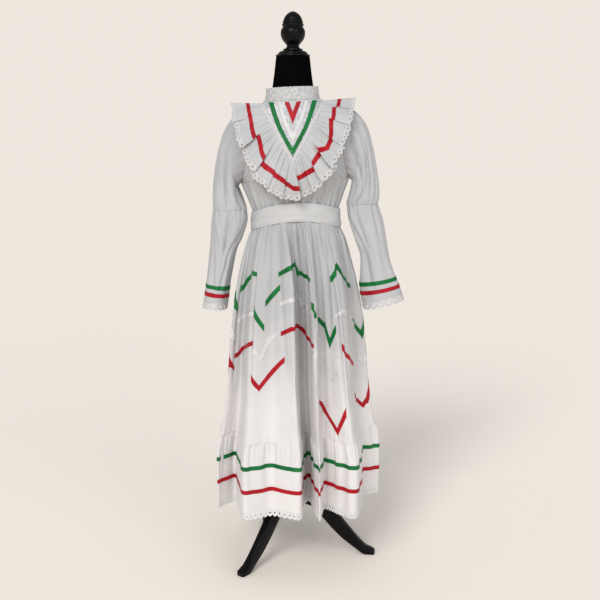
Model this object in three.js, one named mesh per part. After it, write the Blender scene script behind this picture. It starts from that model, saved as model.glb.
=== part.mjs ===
// A white folk dress with ribbon trims, worn by a limbless dress form on a wooden tripod stand.
// Millimetres, +Z up. The front faces -Y, and +X is on the right of someone who looks at the front.

import * as THREE from "three";

// Cloth
const CLOTH = 1.2;
const TRIM = 1;
const SEAM_GAP = 0.3;
const RIBBON_WIDTH = 10;
const RIBBON_LIFT = 1.3;
const CUFF_RIBBON_LIFT = 0.5;
const ZIGZAG_LIFT = 1.6;
const STEEPEST_RIBBON = 2;

// Skirt, flounce and hem lace
const WAIST_HALF_WIDTH = 129;
const WAIST_FRONT = 105;
const WAIST_BACK = 98;
const WAIST_SHIFT = 8;
const WAIST_SIDE_HEIGHT = 1044;
const WAIST_FRONT_RISE = 28;
const WAIST_BACK_RISE = 13;
const HIP_DROP = 80;
const FLOUNCE_TOP = 428;
const FLOUNCE_GREEN = 358;
const FLOUNCE_RED = 288;
const HEM_HEIGHT = 226;
const HEM_LACE_DROP = 22;
const COLUMNS_PER_FOLD = 3;
const EYELETS_PER_FOLD = 3;
const GATHER_DEPTH = 4.5;
const GATHER_DEPTH_AT_HEM = 1;
const LEFT_SEAM = 29;
const RIGHT_SEAM = 15;
const SIDE_SEAM_CUT = 0.004;

// Bodice, yoke and collar
const ARMHOLE_MIDDLE = 1278;
const ARMHOLE_HALF_HEIGHT = 100;
const ARMHOLE_HALF_DEPTH = 60;
const SLEEVE_SIDES = 12;
const BODICE_FRONT_COLUMNS = 24;
const BODICE_BACK_COLUMNS = 14;
const BODICE_GATHER_DEPTH = 3;
const GATHER_FADE = 40;
const ARMHOLE_EASE = 0.45;
const YOKE_TOP = 1410;
const YOKE_HALF_WIDTH = 88;
const YOKE_TIP = 1240;
const YOKE_LIFT = 3.6;
const COLLAR_BOTTOM = 1412.6;
const COLLAR_TOP = 1453;
const COLLAR_COLUMNS = 24;
const COLLAR_SHIFT = -2;
const SHOULDER_TILT = 0.04;
const TILT_STARTS = 900;
const TILT_FULL = 1080;

// Yoke ruffle
const RUFFLE_WAVES = 22;
const RUFFLE_COLUMNS = 66;
const RUFFLE_EYELETS = 32;
const RUFFLE_WAVE_DEPTH = 9;
const RUFFLE_PUFF = 9;
const RUFFLE_LIFT = 5;
const RUFFLE_TOP = 1404;
const RUFFLE_BELOW_TIP = 6;
const RUFFLE_OUTSIDE_V = 3;
const RUFFLE_SWAY = 0.35;
const RUFFLE_RIBBON_AT = 0.6;
const RUFFLE_RIBBON_HALF = 0.045;
const RUFFLE_CLOTH_END = 0.84;
const RUFFLE_LACE_START = 0.852;

// Sash
const SASH_ABOVE_WAIST = 45;
const SASH_BELOW_WAIST = 10.5;
const SASH_COLUMNS = 32;

// Dress form and stand
const FORM_SIDES = 16;
const TURNED_SIDES = 16;
const POLE_RADIUS = 16;
const POLE_BOTTOM = 215.3;
const FORM_BOTTOM = 870;
const NECK_TOP = 1541;
const HUB_RADIUS = 34;
const LEG_ANGLES = [-38, 82, 202];

// A table: column names first, then one row for each section or fold.
function table(names, rows) {
  return rows.map((row) =>
    Object.fromEntries(names.map((name, i) => [name, row[i]])),
  );
}

// Folds of the skirt in the order of the cloth, seen from above, starting at the front left.
// waist is the angle in degrees where the fold leaves the waist (0 is the middle of the front, and
// it grows towards +X); x and y are where the fold's crest or valley reaches at the hem.
const FOLDS = table(["waist", "x", "y"], [
  [-76, -225, -172],
  [-60, -178, -118],
  [-50, -139, -266],
  [-33, -60, -235],
  [-14, 20, -268],
  [-9, 30, -150],
  [-2, 48, -112],
  [7, 60, -180],
  [15, 79, -278],
  [22, 96, -180],
  [32, 135, -222],
  [44, 180, -260],
  [55, 205, -170],
  [68, 218, -62],
  [80, 266, -35],
  [100, 222, 62],
  [112, 255, 132],
  [124, 160, 150],
  [138, 160, 245],
  [150, 85, 182],
  [163, 58, 285],
  [175, 5, 192],
  [188, -45, 285],
  [200, -85, 190],
  [214, -150, 250],
  [227, -150, 158],
  [240, -228, 165],
  [254, -186, 75],
  [268, -234, 12],
  [276, -192, -40],
]);

// How far the skirt has spread from waist (0) to hem (1) at a share of its length.
const FLARE = table(["down", "out"], [
  [0, 0],
  [0.05, 0.15],
  [0.1, 0.26],
  [0.2, 0.44],
  [0.3, 0.565],
  [0.45, 0.67],
  [0.6, 0.75],
  [0.72, 0.86],
  [0.83, 0.98],
  [1, 1],
]);

// Corners of the zigzag ribbons: column counts the skirt's columns, green and red are heights.
const ZIGZAG = table(["column", "green", "red"], [
  [0, 785, 600],
  [2, 916, 715],
  [8, 725, 583],
  [19, 934, 751],
  [31, 716, 458],
  [35, 931, 715],
  [41, 716, 498],
  [47, 925, 730],
  [52, 720, 510],
  [57, 930, 735],
  [62, 715, 500],
  [68, 930, 735],
  [73, 720, 505],
  [78, 930, 735],
  [83, 725, 540],
  [86, 925, 725],
  [90, 785, 600],
]);

// Bodice shape from the waist up: half width, depth in front and behind, and shift to the side.
const BODICE_SHAPE = table(["height", "wide", "front", "back", "shift"], [
  [1020, 128, 104, 97, 8],
  [1090, 129, 105, 98, 8],
  [1130, 142, 109, 100, 7],
  [1178, 160, 115, 104, 6],
  [1216, 164, 118, 106, 6],
  [1256, 167, 116, 104, 5],
  [1300, 170, 106, 98, 5],
  [1340, 174, 94, 90, 5],
  [1378, 178, 80, 78, 4],
  [1402, 118, 74, 70, 0],
  [1412, 83, 70, 66, -2],
]);

// Outer edge of the yoke ruffle on one side: place from shoulder (0) to the tip of the V (0.5).
const RUFFLE_EDGE = table(["at", "x", "y", "height"], [
  [0, 186, -14, 1415],
  [0.09, 173, -72, 1350],
  [0.168, 157, -104, 1294],
  [0.238, 137, -122, 1247],
  [0.325, 108, -134, 1190],
  [0.372, 82, -138, 1166],
  [0.435, 46, -138, 1138],
  [0.5, 0, -138, 1124],
]);

// Sleeve sections below the armhole: the inner and outer end of each, its middle y and half depth.
const SLEEVE_COLUMNS = ["inX", "inZ", "outX", "outZ", "y", "deep"];
const LEFT_SLEEVE_UPPER = table(SLEEVE_COLUMNS, [
  [-165, 1160, -204, 1325, -2, 62],
  [-162, 1150, -224, 1262, -6, 58],
  [-155, 1135, -237, 1182, -12, 55],
  [-145, 1112, -242, 1122, -18, 55],
  [-140, 1094, -240, 1090, -21, 50],
]);
const LEFT_SLEEVE_LOWER = table(SLEEVE_COLUMNS, [
  [-140, 1093.6, -240, 1089.6, -21, 50],
  [-137, 1058, -245, 1050, -26, 52],
  [-152, 1010, -248, 1000, -30, 48],
  [-171, 970, -253, 955, -32, 46],
  [-186, 900, -261, 892, -34, 48],
  [-193, 856, -265, 866, -36, 52],
  [-196, 834, -268, 843, -36, 54],
  [-198, 814, -271, 820, -37, 56],
]);
const LEFT_CUFF_LACE_END = { inX: -201, inZ: 792, outX: -276, outZ: 798, y: -38, deep: 59 };
const RIGHT_SLEEVE_UPPER = table(SLEEVE_COLUMNS, [
  [176, 1178, 219, 1340, -2, 62],
  [176, 1168, 241, 1262, -6, 58],
  [171, 1148, 256, 1180, -10, 55],
  [165, 1124, 260, 1132, -14, 55],
  [162, 1110, 254, 1108, -17, 48],
]);
const RIGHT_SLEEVE_LOWER = table(SLEEVE_COLUMNS, [
  [162, 1109.6, 254, 1107.6, -17, 48],
  [166, 1062, 270, 1060, -21, 50],
  [186, 1005, 281, 998, -24, 48],
  [203, 957, 290, 950, -26, 46],
  [204, 905, 302, 914, -28, 48],
  [203, 866, 314, 886, -29, 52],
  [206, 840, 324, 864, -30, 54],
  [211, 811, 332, 841, -30, 56],
]);
const RIGHT_CUFF_LACE_END = { inX: 216, inZ: 789, outX: 338, outZ: 820, y: -31, deep: 59 };

// Dress form sections from the bottom up.
const FORM = table(["height", "wide", "front", "back", "shift"], [
  [FORM_BOTTOM, 134, 93, 90, 5],
  [940, 134, 95, 92, 5],
  [1020, 118, 90, 86, 6],
  [1090, 109, 88, 82, 6],
  [1180, 136, 101, 90, 5],
  [1250, 146, 104, 92, 5],
  [1330, 150, 82, 78, 4],
  [1362, 142, 68, 66, 3],
  [1384, 108, 62, 60, 1],
  [1402, 72, 58, 58, 0],
  [1425, 60, 58, 58, 0],
  [NECK_TOP, 50, 50, 50, 0],
]);

// Turned pieces, radius against height.
const CAP_PROFILE = table(["radius", "height"], [
  [0, NECK_TOP + SEAM_GAP],
  [50, NECK_TOP + SEAM_GAP],
  [51, 1545],
  [43, 1551],
  [40, 1555],
  [29, 1560],
  [28, 1564],
  [0, 1564],
]);
const FINIAL_PROFILE = table(["radius", "height"], [
  [0, 1564.3],
  [22, 1564.3],
  [18, 1570],
  [21, 1577],
  [31, 1590],
  [36, 1606],
  [36, 1616],
  [31, 1626],
  [31, 1630],
  [33, 1636],
  [27, 1648],
  [14, 1660],
  [7, 1668],
  [0, 1672],
]);
const HUB_PROFILE = table(["radius", "height"], [
  [0, 140],
  [20, 140],
  [30, 146],
  [HUB_RADIUS, 154],
  [HUB_RADIUS, 200],
  [28, 209],
  [20, 215],
  [0, 215],
]);

// A leg's middle line, its half sizes and how far its section leans out, from hub to foot.
const LEG = table(["reach", "height", "halfWidth", "halfHeight", "lean"], [
  [34.3, 176, 12, 17, 0],
  [66, 168, 12, 17, 0.4],
  [100, 144, 12, 17, 0.9],
  [135, 104, 12, 16, 1],
  [170, 66, 12, 15, 0.9],
  [205, 34, 13, 13, 0.6],
  [232, 13, 14, 13, 0.2],
  [260, 8, 13, 8, 0],
]);

const cotton = new THREE.MeshStandardMaterial({ color: 0xe8e4e0, roughness: 0.9, metalness: 0 });
const lace = new THREE.MeshStandardMaterial({ color: 0xf2efec, roughness: 0.95, metalness: 0 });
const greenSatin = new THREE.MeshStandardMaterial({ color: 0x0b7a3c, roughness: 0.45, metalness: 0 });
const redSatin = new THREE.MeshStandardMaterial({ color: 0xb5101f, roughness: 0.45, metalness: 0 });
const whiteSatin = new THREE.MeshStandardMaterial({ color: 0xf6f4f2, roughness: 0.4, metalness: 0 });
const blackJersey = new THREE.MeshStandardMaterial({ color: 0x0b0b0c, roughness: 0.85, metalness: 0 });
const blackLacquer = new THREE.MeshStandardMaterial({ color: 0x121010, roughness: 0.3, metalness: 0 });

const root = new THREE.Group();
const dress = new THREE.Group();
const stand = new THREE.Group();
root.add(dress, stand);

// Reads a column of a table at a place on its key, along a cubic through the rows.
function read(rows, key, column, at) {
  const last = rows.length - 1;
  let i = 0;
  while (i < last - 1 && rows[i + 1][key] < at) i += 1;
  const slope = (k) => {
    const before = rows[Math.max(k - 1, 0)];
    const after = rows[Math.min(k + 1, last)];
    return (after[column] - before[column]) / (after[key] - before[key]);
  };
  const span = rows[i + 1][key] - rows[i][key];
  const t = THREE.MathUtils.clamp((at - rows[i][key]) / span, 0, 1);
  const t2 = t * t;
  const t3 = t2 * t;
  return (
    (2 * t3 - 3 * t2 + 1) * rows[i][column] +
    (t3 - 2 * t2 + t) * span * slope(i) +
    (3 * t2 - 2 * t3) * rows[i + 1][column] +
    (t3 - t2) * span * slope(i + 1)
  );
}

// The same along straight lines.
function readStraight(rows, key, column, at) {
  let i = 0;
  while (i < rows.length - 2 && rows[i + 1][key] < at) i += 1;
  const t = (at - rows[i][key]) / (rows[i + 1][key] - rows[i][key]);
  return THREE.MathUtils.lerp(rows[i][column], rows[i + 1][column], t);
}

// Faces of a grid of rows from the top down and columns to the right, as seen from outside.
function gridFaces(rows, columns, round) {
  const faces = [];
  const steps = round ? columns : columns - 1;
  for (let r = 0; r < rows - 1; r += 1) {
    for (let c = 0; c < steps; c += 1) {
      const next = (c + 1) % columns;
      const topLeft = r * columns + c;
      const topRight = r * columns + next;
      const bottomLeft = topLeft + columns;
      const bottomRight = topRight + columns;
      faces.push([topLeft, bottomLeft, bottomRight]);
      faces.push([topLeft, bottomRight, topRight]);
    }
  }
  return faces;
}

function geometryOf(points, faces) {
  const flat = points.flatMap((p) => [p.x, p.y, p.z]);
  const geometry = new THREE.BufferGeometry();
  geometry.setAttribute("position", new THREE.Float32BufferAttribute(flat, 3));
  geometry.setIndex(faces.flat());
  geometry.computeVertexNormals();
  return geometry;
}

// Directions that point out of a surface at its points.
function outwardDirections(points, faces) {
  const ahead = new THREE.Vector3();
  const behind = new THREE.Vector3();
  const facing = new THREE.Vector3();
  const normals = points.map(() => new THREE.Vector3());
  for (const [a, b, c] of faces) {
    for (const [corner, next, last] of [[a, b, c], [b, c, a], [c, a, b]]) {
      ahead.subVectors(points[next], points[corner]);
      behind.subVectors(points[last], points[corner]);
      facing.crossVectors(ahead, behind).normalize();
      normals[corner].addScaledVector(facing, ahead.angleTo(behind));
    }
  }
  return normals.map((normal) => normal.normalize());
}

// Gives a cloth surface its thickness: lift is how far its inner side lies outside the points.
function thicken(points, faces, wall, lift, normals = outwardDirections(points, faces)) {
  const moved = (distance) =>
    points.map((p, i) => p.clone().addScaledVector(normals[i], distance));
  const count = points.length;
  const edges = new Set(faces.flatMap(([a, b, c]) => [`${a} ${b}`, `${b} ${c}`, `${c} ${a}`]));
  const all = faces.flatMap(([a, b, c]) => [
    [a, b, c],
    [c + count, b + count, a + count],
  ]);
  for (const edge of edges) {
    const [a, b] = edge.split(" ").map(Number);
    if (edges.has(`${b} ${a}`)) continue;
    all.push([b, a, a + count], [b, a + count, b + count]);
  }
  return geometryOf([...moved(lift + wall), ...moved(lift)], all);
}

// A sheet of rows by columns, whose point function takes the row and the column number.
function sheet({ rows, columns, round = false, wall = CLOTH, lift = -wall, point, outward }) {
  const points = [];
  const normals = [];
  for (let r = 0; r < rows; r += 1) {
    for (let c = 0; c < columns; c += 1) {
      points.push(point(r, c));
      if (outward) normals.push(outward(r, c));
    }
  }
  const faces = gridFaces(rows, columns, round);
  return thicken(points, faces, wall, lift, outward && normals);
}

// An eyelet lace strip: at(share, drop) is the point at a share of its length, drop from its top.
// Each repeat is a scallop with a three-cornered eyelet cut through it.
function laceStrip({ eyelets, drop, at, wall = TRIM, lift = -wall }) {
  const points = [];
  const faces = [];
  const scallopSide = 0.72 * drop;
  const eyeletTop = 0.2 * drop;
  const eyeletBottom = 0.66 * drop;
  const eyeletReach = 0.18 / eyelets;
  for (let i = 0; i <= eyelets; i += 1) {
    points.push(at(i / eyelets, 0), at(i / eyelets, scallopSide));
  }
  for (let i = 0; i < eyelets; i += 1) {
    const middle = (i + 0.5) / eyelets;
    const tip = points.push(at(middle, drop)) - 1;
    const left = points.push(at(middle - eyeletReach, eyeletTop)) - 1;
    const down = points.push(at(middle, eyeletBottom)) - 1;
    const right = points.push(at(middle + eyeletReach, eyeletTop)) - 1;
    const topLeft = 2 * i;
    const bottomLeft = topLeft + 1;
    const topRight = topLeft + 2;
    const bottomRight = topLeft + 3;
    faces.push(
      [topLeft, bottomLeft, left],
      [bottomLeft, down, left],
      [bottomLeft, tip, down],
      [tip, bottomRight, down],
      [bottomRight, right, down],
      [bottomRight, topRight, right],
      [topLeft, left, right],
      [topLeft, right, topRight],
    );
  }
  return thicken(points, faces, wall, lift);
}

// A solid through closed rings from the top down, with both ends capped.
function loft(rings) {
  const sides = rings[0].length;
  const points = rings.flat();
  const faces = gridFaces(rings.length, sides, true);
  const middle = (ring) =>
    ring.reduce((sum, p) => sum.add(p), new THREE.Vector3()).divideScalar(sides);
  const top = points.push(middle(rings[0])) - 1;
  const bottom = points.push(middle(rings[rings.length - 1])) - 1;
  const lastRow = (rings.length - 1) * sides;
  for (let c = 0; c < sides; c += 1) {
    const next = (c + 1) % sides;
    faces.push([top, c, next]);
    faces.push([bottom, lastRow + next, lastRow + c]);
  }
  return geometryOf(points, faces);
}

// A turned piece about the vertical axis, from a profile that starts and ends on it.
function turned(profile) {
  const outline = profile.map(({ radius, height }) => new THREE.Vector2(radius, height));
  return new THREE.LatheGeometry(outline, TURNED_SIDES).rotateX(Math.PI / 2);
}

function add(group, name, geometry, material) {
  const mesh = new THREE.Mesh(geometry, material);
  mesh.name = name;
  group.add(mesh);
}

// The upper dress hangs a little lower on its left: heights above the hips are tilted.
function tilted(point) {
  const share = THREE.MathUtils.smoothstep(point.z, TILT_STARTS, TILT_FULL);
  point.z += SHOULDER_TILT * share * point.x;
  return point;
}

// A point of an oval section: angle 0 is the middle of the front.
function oval(wide, front, back, angle) {
  const depth = Math.cos(angle) > 0 ? front : back;
  return new THREE.Vector2(wide * Math.sin(angle), -depth * Math.cos(angle));
}

function waistHeight(angle) {
  const squared = Math.cos(angle) ** 2;
  const rise = Math.cos(angle) > 0 ? WAIST_FRONT_RISE : WAIST_BACK_RISE;
  return WAIST_SIDE_HEIGHT + rise * squared;
}

// Skirt: the hem's outline is a smooth closed curve through the folds.
const hemCurve = new THREE.CatmullRomCurve3(
  FOLDS.map(({ x, y }) => new THREE.Vector3(x, y, 0)),
  true,
  "centripetal",
);
const FOLD_COUNT = FOLDS.length;
const WAIST_ANGLES = table(
  ["fold", "waist"],
  [
    [-1, FOLDS[FOLD_COUNT - 1].waist - 360],
    ...FOLDS.map(({ waist }, i) => [i, waist]),
    [FOLD_COUNT, FOLDS[0].waist + 360],
  ],
);

function wrapped(fold) {
  return ((fold % FOLD_COUNT) + FOLD_COUNT) % FOLD_COUNT;
}

function waistAngle(fold) {
  return THREE.MathUtils.degToRad(readStraight(WAIST_ANGLES, "fold", "waist", wrapped(fold)));
}

// A point of the skirt or flounce at a place along the folds and a height.
function skirtPoint(fold, height) {
  const angle = waistAngle(fold);
  const start = oval(WAIST_HALF_WIDTH, WAIST_FRONT, WAIST_BACK, angle);
  start.x += WAIST_SHIFT;
  const top = waistHeight(angle);
  const hem = hemCurve.getPoint(wrapped(fold) / FOLD_COUNT);
  const out = read(FLARE, "down", "out", (top - height) / (top - HEM_HEIGHT));
  const x = THREE.MathUtils.lerp(start.x, hem.x, out);
  const y = THREE.MathUtils.lerp(start.y, hem.y, out);
  return tilted(new THREE.Vector3(x, y, height));
}

function zigzagHeight(colour, fold) {
  return readStraight(ZIGZAG, "column", colour, wrapped(fold) * COLUMNS_PER_FOLD);
}

const SKIRT_ROWS = [
  (fold) => waistHeight(waistAngle(fold)),
  (fold) => waistHeight(waistAngle(fold)) - HIP_DROP,
  (fold) => zigzagHeight("green", fold),
  (fold) => zigzagHeight("red", fold),
  () => FLOUNCE_TOP,
];

// A point on the facets of a panel: straight between the two rows that are nearest in height.
function betweenRows(heights, height, pointAt) {
  let i = 0;
  while (i < heights.length - 2 && heights[i + 1] > height) i += 1;
  const share = (heights[i] - height) / (heights[i] - heights[i + 1]);
  return pointAt(heights[i]).lerp(pointAt(heights[i + 1]), share);
}

function onSkirt(fold, height) {
  const heights = SKIRT_ROWS.map((row) => row(fold));
  return betweenRows(heights, height, (at) => skirtPoint(fold, at));
}

// Places along the folds from one side seam to the other, with the seam's gap at both ends.
function panelFolds(from, to) {
  const steps = (to - from) * COLUMNS_PER_FOLD;
  return Array.from({ length: steps + 1 }, (_, i) => {
    const fold = from + i / COLUMNS_PER_FOLD;
    if (i === 0) return fold + SIDE_SEAM_CUT;
    if (i === steps) return fold - SIDE_SEAM_CUT;
    return fold;
  });
}

const PANELS = {
  front: [LEFT_SEAM, RIGHT_SEAM + FOLD_COUNT],
  back: [RIGHT_SEAM, LEFT_SEAM],
};
const ROUND_FOLDS = Array.from(
  { length: FOLD_COUNT * COLUMNS_PER_FOLD },
  (_, i) => i / COLUMNS_PER_FOLD,
);

function skirtPanel([from, to]) {
  const folds = panelFolds(from, to);
  return sheet({
    rows: SKIRT_ROWS.length,
    columns: folds.length,
    point: (r, c) => skirtPoint(folds[c], SKIRT_ROWS[r](folds[c])),
  });
}

// The level direction that points evenly away from both sides of a column.
function awayFromColumn(fold, height, pointAt) {
  const step = 1 / COLUMNS_PER_FOLD;
  const [before, here, after] = [-step, 0, step].map((move) => pointAt(fold + move, height));
  const across = (from, to) => new THREE.Vector3(to.y - from.y, from.x - to.x, 0).normalize();
  return across(before, here).add(across(here, after)).normalize();
}

// A zigzag ribbon keeps its width across its own slope.
function zigzagRibbon(colour) {
  const step = 1 / COLUMNS_PER_FOLD;
  return sheet({
    rows: 2,
    columns: ROUND_FOLDS.length,
    round: true,
    wall: TRIM,
    lift: ZIGZAG_LIFT,
    point: (r, c) => {
      const fold = ROUND_FOLDS[c];
      const height = zigzagHeight(colour, fold);
      const rises = [-step, step].map((move) => {
        const there = skirtPoint(fold + move, height);
        const rise = zigzagHeight(colour, fold + move) - height;
        return rise / there.distanceTo(skirtPoint(fold, height));
      });
      const slope = Math.max(...rises.map(Math.abs));
      const half = (RIBBON_WIDTH / 2) * Math.sqrt(1 + Math.min(slope, STEEPEST_RIBBON) ** 2);
      return onSkirt(fold, height + (r === 0 ? half : -half));
    },
    outward: (r, c) =>
      awayFromColumn(ROUND_FOLDS[c], zigzagHeight(colour, ROUND_FOLDS[c]), skirtPoint),
  });
}

// Flounce: every second column is pulled in, deepest at the seam.
function flouncePoint(fold, height) {
  const point = skirtPoint(fold, height);
  const nudge = 0.05;
  const along = skirtPoint(fold + nudge, height).sub(skirtPoint(fold - nudge, height));
  const outward = new THREE.Vector3(along.y, -along.x, 0).normalize();
  const share = (FLOUNCE_TOP - height) / (FLOUNCE_TOP - HEM_HEIGHT);
  const depth = THREE.MathUtils.lerp(GATHER_DEPTH, GATHER_DEPTH_AT_HEM, share);
  const wave = Math.cos(Math.PI * Math.round(fold * COLUMNS_PER_FOLD));
  return point.addScaledVector(outward, depth * wave);
}

const FLOUNCE_ROWS = [FLOUNCE_TOP - SEAM_GAP, FLOUNCE_GREEN, FLOUNCE_RED, HEM_HEIGHT];

function flouncePanel([from, to]) {
  const folds = panelFolds(from, to);
  return sheet({
    rows: FLOUNCE_ROWS.length,
    columns: folds.length,
    point: (r, c) => flouncePoint(folds[c], FLOUNCE_ROWS[r]),
  });
}

function flounceRibbon(height) {
  return sheet({
    rows: 2,
    columns: ROUND_FOLDS.length,
    round: true,
    wall: TRIM,
    lift: RIBBON_LIFT,
    point: (r, c) => {
      const half = r === 0 ? RIBBON_WIDTH / 2 : -RIBBON_WIDTH / 2;
      const fold = ROUND_FOLDS[c];
      return betweenRows(FLOUNCE_ROWS, height + half, (at) => flouncePoint(fold, at));
    },
  });
}

function hemLace([from, to]) {
  const start = from + SIDE_SEAM_CUT;
  const length = to - from - 2 * SIDE_SEAM_CUT;
  return laceStrip({
    eyelets: (to - from) * EYELETS_PER_FOLD,
    drop: HEM_LACE_DROP,
    at: (share, drop) => skirtPoint(start + length * share, HEM_HEIGHT - 2 * SEAM_GAP - drop),
  });
}

for (const [side, panel] of Object.entries(PANELS)) {
  add(dress, `skirt_${side}`, skirtPanel(panel), cotton);
  add(dress, `flounce_${side}`, flouncePanel(panel), cotton);
  add(dress, `hem_lace_${side}`, hemLace(panel), lace);
}
add(dress, "skirt_ribbon_green", zigzagRibbon("green"), greenSatin);
add(dress, "skirt_ribbon_red", zigzagRibbon("red"), redSatin);
add(dress, "flounce_ribbon_green", flounceRibbon(FLOUNCE_GREEN), greenSatin);
add(dress, "flounce_ribbon_red", flounceRibbon(FLOUNCE_RED), redSatin);

// Bodice: its sections lie at the rows of its panels, and the shape is straight between them.
const ARMHOLE_ROWS = Array.from({ length: SLEEVE_SIDES / 2 + 1 }, (_, i) => {
  const turn = (2 * Math.PI * i) / SLEEVE_SIDES;
  return ARMHOLE_MIDDLE + ARMHOLE_HALF_HEIGHT * Math.cos(turn);
});
const BODICE_HEIGHTS = [1412, 1402, ...ARMHOLE_ROWS, 1130];
const SHAPE_COLUMNS = ["wide", "front", "back", "shift"];
const BODICE_SECTIONS = [1020, 1090, ...BODICE_HEIGHTS.toReversed()].map((height) => ({
  height,
  ...Object.fromEntries(
    SHAPE_COLUMNS.map((name) => [name, read(BODICE_SHAPE, "height", name, height)]),
  ),
}));

function bodiceSection(height) {
  return Object.fromEntries(
    SHAPE_COLUMNS.map((name) => [name, readStraight(BODICE_SECTIONS, "height", name, height)]),
  );
}

function bodicePoint(angle, height, out) {
  const { wide, front, back, shift } = bodiceSection(height);
  const flat = oval(wide + out, front + out, back + out, angle);
  return tilted(new THREE.Vector3(flat.x + shift, flat.y, height));
}

// Half the depth of the armhole at a height, 0 outside it.
function armholeDepth(height) {
  const up = (height - ARMHOLE_MIDDLE) / (ARMHOLE_HALF_HEIGHT + ARMHOLE_EASE);
  return (ARMHOLE_HALF_DEPTH + ARMHOLE_EASE) * Math.sqrt(Math.max(0, 1 - up * up));
}

// Rows that follow the waist are given by how far above it they lie.
const BODICE_ROWS = [
  ...BODICE_HEIGHTS.map((height) => ({ height, gathers: 1 })),
  { height: WAIST_SIDE_HEIGHT, above: SASH_ABOVE_WAIST, gathers: 0.7 },
  { height: WAIST_SIDE_HEIGHT, above: SEAM_GAP, gathers: 0.3 },
];

function bodicePanel({ columns, depth, middle, gatherTop }) {
  return sheet({
    rows: BODICE_ROWS.length,
    columns,
    point: (r, c) => {
      const { height: level, above, gathers } = BODICE_ROWS[r];
      const share = (2 * c) / (columns - 1) - 1;
      const hole = Math.max(armholeDepth(level), SEAM_GAP);
      const angle = middle + share * Math.acos(hole / bodiceSection(level)[depth]);
      const height = above === undefined ? level : waistHeight(angle) + above;
      const fullness = THREE.MathUtils.smoothstep(gatherTop - height, 0, GATHER_FADE);
      const inside = c > 0 && c < columns - 1 ? 1 : 0;
      const wave = Math.cos(Math.PI * c) * BODICE_GATHER_DEPTH * gathers * fullness * inside;
      return bodicePoint(angle, height, wave);
    },
  });
}

const BODICE_PANELS = [
  { name: "front", columns: BODICE_FRONT_COLUMNS, depth: "front", middle: 0, gatherTop: 1200 },
  { name: "back", columns: BODICE_BACK_COLUMNS, depth: "back", middle: Math.PI, gatherTop: 1170 },
];
for (const panel of BODICE_PANELS) {
  add(dress, `bodice_${panel.name}`, bodicePanel(panel), cotton);
}

// The bodice's front surface at a place seen from the front, moved out by lift along its normal.
function onFront(x, height, lift) {
  const depthAt = (atX, atHeight) => {
    const { wide, front, shift } = bodiceSection(atHeight);
    const across = THREE.MathUtils.clamp((atX - shift) / wide, -0.98, 0.98);
    return -front * Math.sqrt(1 - across * across);
  };
  const slopeX = (depthAt(x + 1, height) - depthAt(x - 1, height)) / 2;
  const slopeZ = (depthAt(x, height + 1) - depthAt(x, height - 1)) / 2;
  const normal = new THREE.Vector3(slopeX, -1, slopeZ).normalize();
  return new THREE.Vector3(x, depthAt(x, height), height).addScaledVector(normal, lift);
}

// Yoke: a V-shaped panel on the bodice front, with a row at each of the bodice's.
const YOKE_HEIGHTS = [
  YOKE_TOP,
  ...BODICE_HEIGHTS.filter((height) => height < YOKE_TOP && height > YOKE_TIP),
  YOKE_TIP,
];

function yokePanel() {
  const columns = 9;
  const bluntTip = 3;
  return sheet({
    rows: YOKE_HEIGHTS.length,
    columns,
    wall: TRIM,
    lift: YOKE_LIFT,
    point: (r, c) => {
      const height = YOKE_HEIGHTS[r];
      const down = (YOKE_TOP - height) / (YOKE_TOP - YOKE_TIP);
      const half = THREE.MathUtils.lerp(YOKE_HALF_WIDTH, bluntTip, down);
      const { wide, shift } = bodiceSection(height);
      const left = Math.asin(Math.max((-half - shift) / wide, -1));
      const right = Math.asin(Math.min((half - shift) / wide, 1));
      const angle = THREE.MathUtils.lerp(left, right, c / (columns - 1));
      return bodicePoint(angle, height, 0);
    },
  });
}

// A V-shaped band on the yoke, from its top half width and height down to its tip.
function yokeBand({ halfWidth, top, tip, width, lift }) {
  const legSteps = 7;
  const columns = 2 * legSteps + 1;
  const slant = halfWidth / (top - tip);
  const drop = (width / 2) * Math.sqrt(1 + 1 / slant ** 2);
  return sheet({
    rows: 2,
    columns,
    wall: TRIM,
    lift,
    point: (r, c) => {
      const sign = r === 0 ? 1 : -1;
      const share = Math.abs(c / legSteps - 1);
      const reach = halfWidth - sign * drop * slant;
      const height = THREE.MathUtils.lerp(tip + sign * drop, top, share);
      const x = Math.sign(c - legSteps) * reach * share;
      return tilted(onFront(x, height, 0));
    },
  });
}

const YOKE_RIBBONS = table(["name", "halfWidth", "top", "tip", "lift"], [
  ["green", 61, 1405, 1260, 7.2],
  ["white", 38, 1406, 1303, 5.9],
  ["red", 17, 1406, 1356, 5.3],
]);
const YOKE_TRIM = { halfWidth: YOKE_HALF_WIDTH, top: 1400, tip: 1237, width: 9, lift: 9.5 };
const SATINS = { green: greenSatin, white: whiteSatin, red: redSatin };

add(dress, "yoke_front", yokePanel(), cotton);
for (const band of YOKE_RIBBONS) {
  const ribbon = yokeBand({ ...band, width: RIBBON_WIDTH });
  add(dress, `yoke_ribbon_${band.name}`, ribbon, SATINS[band.name]);
}
add(dress, "yoke_edge_trim", yokeBand(YOKE_TRIM), lace);

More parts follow.
